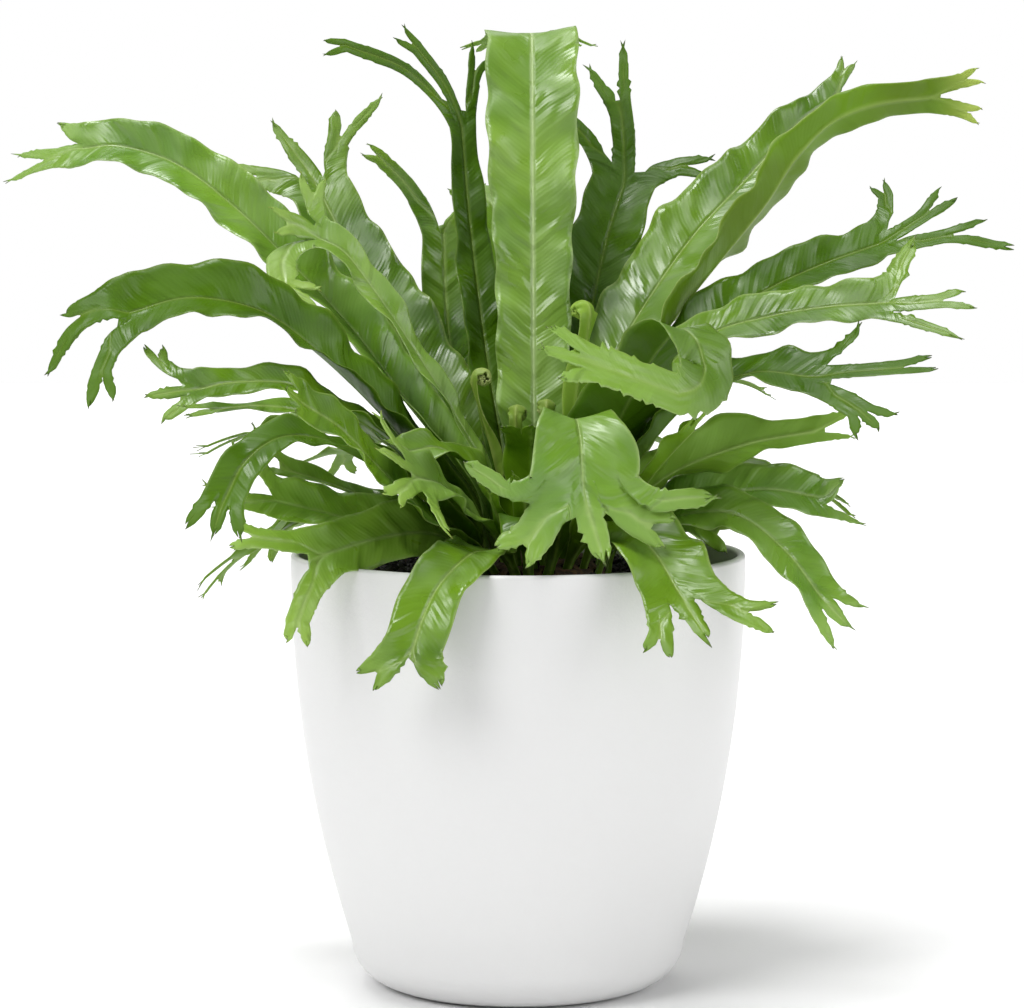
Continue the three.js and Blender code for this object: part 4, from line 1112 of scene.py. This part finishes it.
    @staticmethod
    def nick(run: float, lag: float) -> float:
        """Nicks an edge like a saw, uneven in the teeth's length and depth.

        Args:
            run: Distance in teeth.
            lag: The edge's own start.

        Returns:
            How far the edge stands out.
        """
        phase = run + lag + 0.3 * math.sin(4.1 * run + 9 * lag)
        depth = 0.7 + 0.5 * math.sin(2.6 * run + 15 * lag)
        return depth * ((phase % 1) ** 1.6 - 0.35)

    def grow_teeth(self, place: Stand, row: list[int], half: float, length: float, run: float) -> None:
        """Ends a finger in a small fringe of pointed teeth.

        Args:
            place: The finger's last place.
            row: Its last row.
            half: Half its width there.
            length: How far the finger has still to go.
            run: Distance from the frond's root in millimetres.
        """
        width = 2
        teeth = (len(row) - 1) // width
        own = half / teeth
        for k in range(teeth):
            near = row[k * width:(k + 1) * width + 1]
            v = (2 * k + 1) / teeth - 1
            grown = (length + self.tooth) * (1 - 0.3 * abs(v)) * self.rng.uniform(0.6, 1.35)
            heading = Stand(self.blade.middle(near), place.t, place.b)
            heading = heading.turned(-38 * v + self.rng.uniform(-8, 8)).bent(self.rng.uniform(-20, 30))
            for s in (0.3, 0.65, 1.0):
                across = [0.0] if s == 1 else [own * (1 - s) ** 0.7 * (i - 1) for i in range(width + 1)]
                near = self.blade.grow(near, [
                    Spot(heading.at(x, 0, grown * s), 0.14, 0.14, x / 10, (run + grown * s) / 10,
                         0.86 + 0.14 * s, 0.5) for x in across])

    def grow_curl(self, place: Stand, row: list[int], curl: Curl) -> None:
        """Rolls the tip of a young frond.

        Args:
            place: The strap's last place.
            row: Its last row.
            curl: The curl's sizes.
        """
        steps = round(curl.turns * 8) * 7
        near, last = row, len(row) - 1
        turn = 360 * (curl.turns + self.wound) / steps
        for step in range(1, steps + 1):
            s = step / steps
            place = place.bent(turn)
            place.p += place.t * (math.radians(turn) * curl.radius * mix(1, 0.1, s))
            half = curl.width / 2 * mix(1, 0.75, s)
            along, crest = (self.spine.length + s * 20) / 10, 0.6 * min(3 * s, 1)
            spots = []
            for v in (2 * i / last - 1 for i in range(last + 1)):
                frill = (0.4 + 0.3 * s) * math.sin(step * 0.8 + v * 2) * abs(v)
                point = place.at(v * half + frill * 0.6, abs(v) ** 2 * half * 0.6 + frill)
                spots.append(Spot(point, 0.3, 0.42, v * half / 10, along, crest, 0.5))
            near = self.blade.grow(near, spots)


@dataclass
class Plant:
    """All fronds and croziers, each rooted in the free place nearest to where it leaves the crown."""

    spacing: float = 3.1
    turn: float = 137.5
    places: int = 74
    height: float = 147.0

    def root(self, radius: float, degrees: float) -> Vector:
        """A place on the crown's top."""
        angle = math.radians(degrees)
        return Vector((CROWN_X + radius * math.cos(angle), radius * math.sin(angle), self.height))

    def build(self) -> None:
        """Grows every frond from a sunflower spiral of roots."""
        free = [self.root(self.spacing * math.sqrt(k + 0.5), self.turn * k) for k in range(self.places)]
        for kind, fronds in (("crozier", CROZIERS), ("frond", FRONDS)):
            for number, frond in enumerate(fronds, 1):
                wanted = self.root(frond.root, frond.az)
                foot = min(free, key=lambda place: (place - wanted).length)
                free.remove(foot)
                FrondGrower(frond, foot, f"{kind}_{number:02d}").build()


# Pot and soil


@dataclass
class Pot:
    """A tapered cup with a rounded foot and lip, drawn up ring by ring from its base."""

    rim: float = 82.5
    base: float = 60.8
    height: float = 158.0
    wall: float = 3.0
    floor: float = 4.0
    foot: float = 16.0
    foot_inset: float = 18.4
    bulge: float = 2.1
    sides: int = 160
    finish: PotFinish = PotFinish()

    def radius(self, height: float) -> float:
        """The outside radius at a height."""
        up = min(max((height - self.foot) / (self.height - self.foot), 0), 1)
        return self.base + (self.rim - self.base) * (1 - (1 - up) ** self.bulge)

    def profile(self) -> list[tuple[float, float]]:
        """Lists the rings from the base's edge up the outside, over the lip and down to the floor.

        Returns:
            Their radii and heights.
        """
        rings = []
        for turn in (math.radians(10 * k) for k in range(10)):
            inset, height = self.foot_inset * (1 - math.sin(turn)), self.foot * (1 - math.cos(turn))
            rings.append((self.base - inset, height))
        lip = self.wall / 2
        for height in (mix(self.foot, self.height - lip, k / 30) for k in range(1, 31)):
            rings.append((self.radius(height), height))
        for turn in (math.radians(15 * k) for k in range(1, 13)):
            rings.append((self.rim - lip + lip * math.cos(turn), self.height - lip + lip * math.sin(turn)))
        for height in (mix(self.height - 2 * lip, self.foot + 4, (k + 1) / 16) for k in range(16)):
            rings.append((self.radius(height) - self.wall, height))
        return rings + [(self.base - self.wall - 4, self.floor + 5), (self.base - self.foot, self.floor)]

    def build(self) -> None:
        """Models the cup and lets it stand for its solid."""
        clear_selection()
        rings = self.profile()
        radius, height = rings[0]
        bpy.ops.mesh.primitive_circle_add(vertices=self.sides, radius=radius * MM,
                                          location=(0, 0, height * MM))
        piece = bpy.context.object
        piece.name = piece.data.name = "pot_shell"
        bpy.ops.object.transform_apply(location=True, rotation=True, scale=True)
        bpy.ops.object.mode_set(mode="EDIT")
        bpy.ops.mesh.select_all(action="SELECT")
        for (near, low), (far, high) in zip(rings, rings[1:]):
            bpy.ops.mesh.extrude_region_move(TRANSFORM_OT_translate={"value": (0, 0, (high - low) * MM)})
            bpy.ops.transform.resize(value=(far / near, far / near, 1), center_override=(0, 0, high * MM))
        bpy.ops.mesh.edge_face_add()
        bpy.ops.mesh.select_all(action="DESELECT")
        bpy.ops.mesh.select_non_manifold()
        bpy.ops.mesh.edge_face_add()
        bpy.ops.mesh.select_all(action="SELECT")
        bpy.ops.mesh.normals_make_consistent(inside=False)
        bpy.ops.object.mode_set(mode="OBJECT")
        bpy.ops.object.shade_smooth_by_angle(angle=math.radians(40))
        piece.data.materials.append(self.finish.material())
        adopt(piece, "pot", "pot")


@dataclass
class SoilTop:
    """Crumbs of peat and a little bark on the packed soil."""

    crumbs: int = 1500
    size: tuple[float, float] = (0.8, 2.6)
    reach: float = 76.0
    level: float = 148.0
    rise: float = 2.5
    wave: float = 0.7
    crown: float = 29.0

    def height(self, radius: float, angle: float) -> float:
        """Works out the packed soil's own height.

        Args:
            radius: Distance from the pot's axis.
            angle: Turn round it.

        Returns:
            The height.
        """
        rise = self.rise * math.cos(radius / Pot.rim * math.pi / 2)
        waves = math.sin(5 * angle + radius * 0.31) + math.sin(3 * angle - radius * 0.53)
        return self.level + rise + self.wave * waves

    def crumb(self) -> bpy.types.Mesh:
        """Models one lump.

        Returns:
            Its mesh.
        """
        clear_selection()
        bpy.ops.mesh.primitive_ico_sphere_add(subdivisions=1, radius=1.0, location=(0, 0, 0))
        lump = bpy.context.object
        bpy.ops.object.mode_set(mode="EDIT")
        bpy.ops.mesh.select_all(action="SELECT")
        bpy.ops.mesh.subdivide(number_cuts=1, fractal=0.6, seed=SEED)
        bpy.ops.object.mode_set(mode="OBJECT")
        mesh = lump.data
        bpy.data.objects.remove(lump)
        return mesh

    def build(self) -> None:
        """Strews the crumbs over the soil and gives soil and crown their finishes."""
        rng = random.Random(SEED)
        lump = self.crumb()
        shape = np.array([tuple(v.co) for v in lump.vertices])
        corners = [tuple(face.vertices) for face in lump.polygons]
        points, faces = [], []
        for _ in range(self.crumbs):
            radius, angle = self.reach * math.sqrt(rng.uniform(0.05, 1)), rng.uniform(0, 2 * math.pi)
            x, y = radius * math.cos(angle), radius * math.sin(angle)
            if math.hypot(x - CROWN_X, y) < self.crown:
                continue
            size = mix(*self.size, rng.random() ** 2)
            turn = Quaternion([rng.gauss(0, 1) for _ in range(4)]).normalized()
            matrix = np.array(turn.to_matrix()) * np.array([size, size * rng.uniform(0.6, 1), size * 0.7])
            centre = np.array([x, y, self.height(radius, angle) + size * 0.25])
            faces.extend(tuple(len(points) + i for i in corner) for corner in corners)
            points.extend((shape @ matrix.T + centre).tolist())
        mesh = bpy.data.meshes.new("soil_crumbs")
        mesh.from_pydata((np.array(points) * MM).tolist(), [], faces)
        mesh.materials.append(SoilFinish().material("peat_crumbs", 0.7))
        adopt(placed("soil_crumbs", mesh), "soil")
        finishes = {"soil": SoilFinish().material("peat", 0.4), "crown": CrownFinish().material()}
        for node, material in finishes.items():
            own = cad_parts[node]
            own.data.materials.clear()
            own.data.materials.append(material)


# Studio

# Name, direction that it stands in, degrees of the sky that it fills, and strength in watts a square metre
LAMPS: tuple[tuple[str, tuple[float, float, float], float, float], ...] = (
    ("top", (-0.14, -0.06, 1.00), 26.0, 2.1),
    ("key", (-0.50, -0.58, 0.62), 28.0, 1.3),
    ("left", (-0.85, -0.40, 0.32), 60.0, 0.35),
    ("right", (0.88, -0.35, 0.36), 50.0, 1.3),
    ("back", (-0.30, 0.78, 0.62), 50.0, 0.75),
)


@dataclass
class Studio:
    """The photograph's camera, a pale floor under a white sky, and soft lamps."""

    camera_at: tuple[float, float, float] = (-0.0022, -1.3, 0.29)
    pitch: float = 5.04
    lens: float = 126.4
    sensor: float = 36.0
    ambient: float = 0.17
    floor_size: float = 8.0

    def build(self) -> None:
        """Places everything round the object."""
        scene = bpy.context.scene
        lens = bpy.data.cameras.new("camera")
        lens.lens, lens.sensor_width = self.lens, self.sensor
        scene.camera = placed("camera", lens)
        scene.camera.location = self.camera_at
        scene.camera.rotation_euler = (math.radians(90 - self.pitch), 0, 0)
        scene.view_settings.view_transform = "Standard"
        self.floor()
        for name, direction, spread, power in LAMPS:
            light = bpy.data.lights.new(name, "SUN")
            light.angle, light.energy = math.radians(spread), power
            lamp = placed(name, light)
            lamp.location = direction
            lamp.rotation_euler = (-Vector(direction)).to_track_quat("-Z", "Y").to_euler()
        scene.world = self.sky()

    def sky(self) -> bpy.types.World:
        """Makes a sky that is white behind the object, and dimmer as a light.

        Returns:
            The world.
        """
        world = bpy.data.worlds.new("studio")
        world.use_nodes = True
        tree = world.node_tree
        seen = tree.nodes.new("ShaderNodeLightPath").outputs["Is Camera Ray"]
        level = tree.nodes.new("ShaderNodeMapRange")
        level.inputs["To Min"].default_value, level.inputs["To Max"].default_value = self.ambient, 1.0
        tree.links.new(seen, level.inputs["Value"])
        tree.links.new(level.outputs[0], tree.nodes["Background"].inputs["Strength"])
        tree.nodes["Background"].inputs["Color"].default_value = (1, 1, 1, 1)
        return world

    def floor(self) -> None:
        """A matt floor, pale enough to lose its edge in the sky."""
        clear_selection()
        bpy.ops.mesh.primitive_plane_add(size=self.floor_size, location=(0, 0, 0))
        floor = bpy.context.object
        floor.name = floor.data.name = "studio_floor"
        g = Graph("studio_floor")
        skin = g.add("BsdfPrincipled", Base_Color=(950, 950, 950), Roughness=0.9)
        floor.data.materials.append(g.finish(skin))


LEAF_MATERIALS: dict[tuple[Look, Side], bpy.types.Material] = {}


def main() -> None:
    """Builds the studio, the pot, the soil and the plant."""
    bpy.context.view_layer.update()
    Studio().build()
    Pot().build()
    SoilTop().build()
    for look, finish in LEAF_FINISHES.items():
        for side in Side:
            LEAF_MATERIALS[look, side] = finish.material(f"leaf_{look.value}_{side.value}", side)
    Plant().build()


if __name__ == "__main__":
    main()
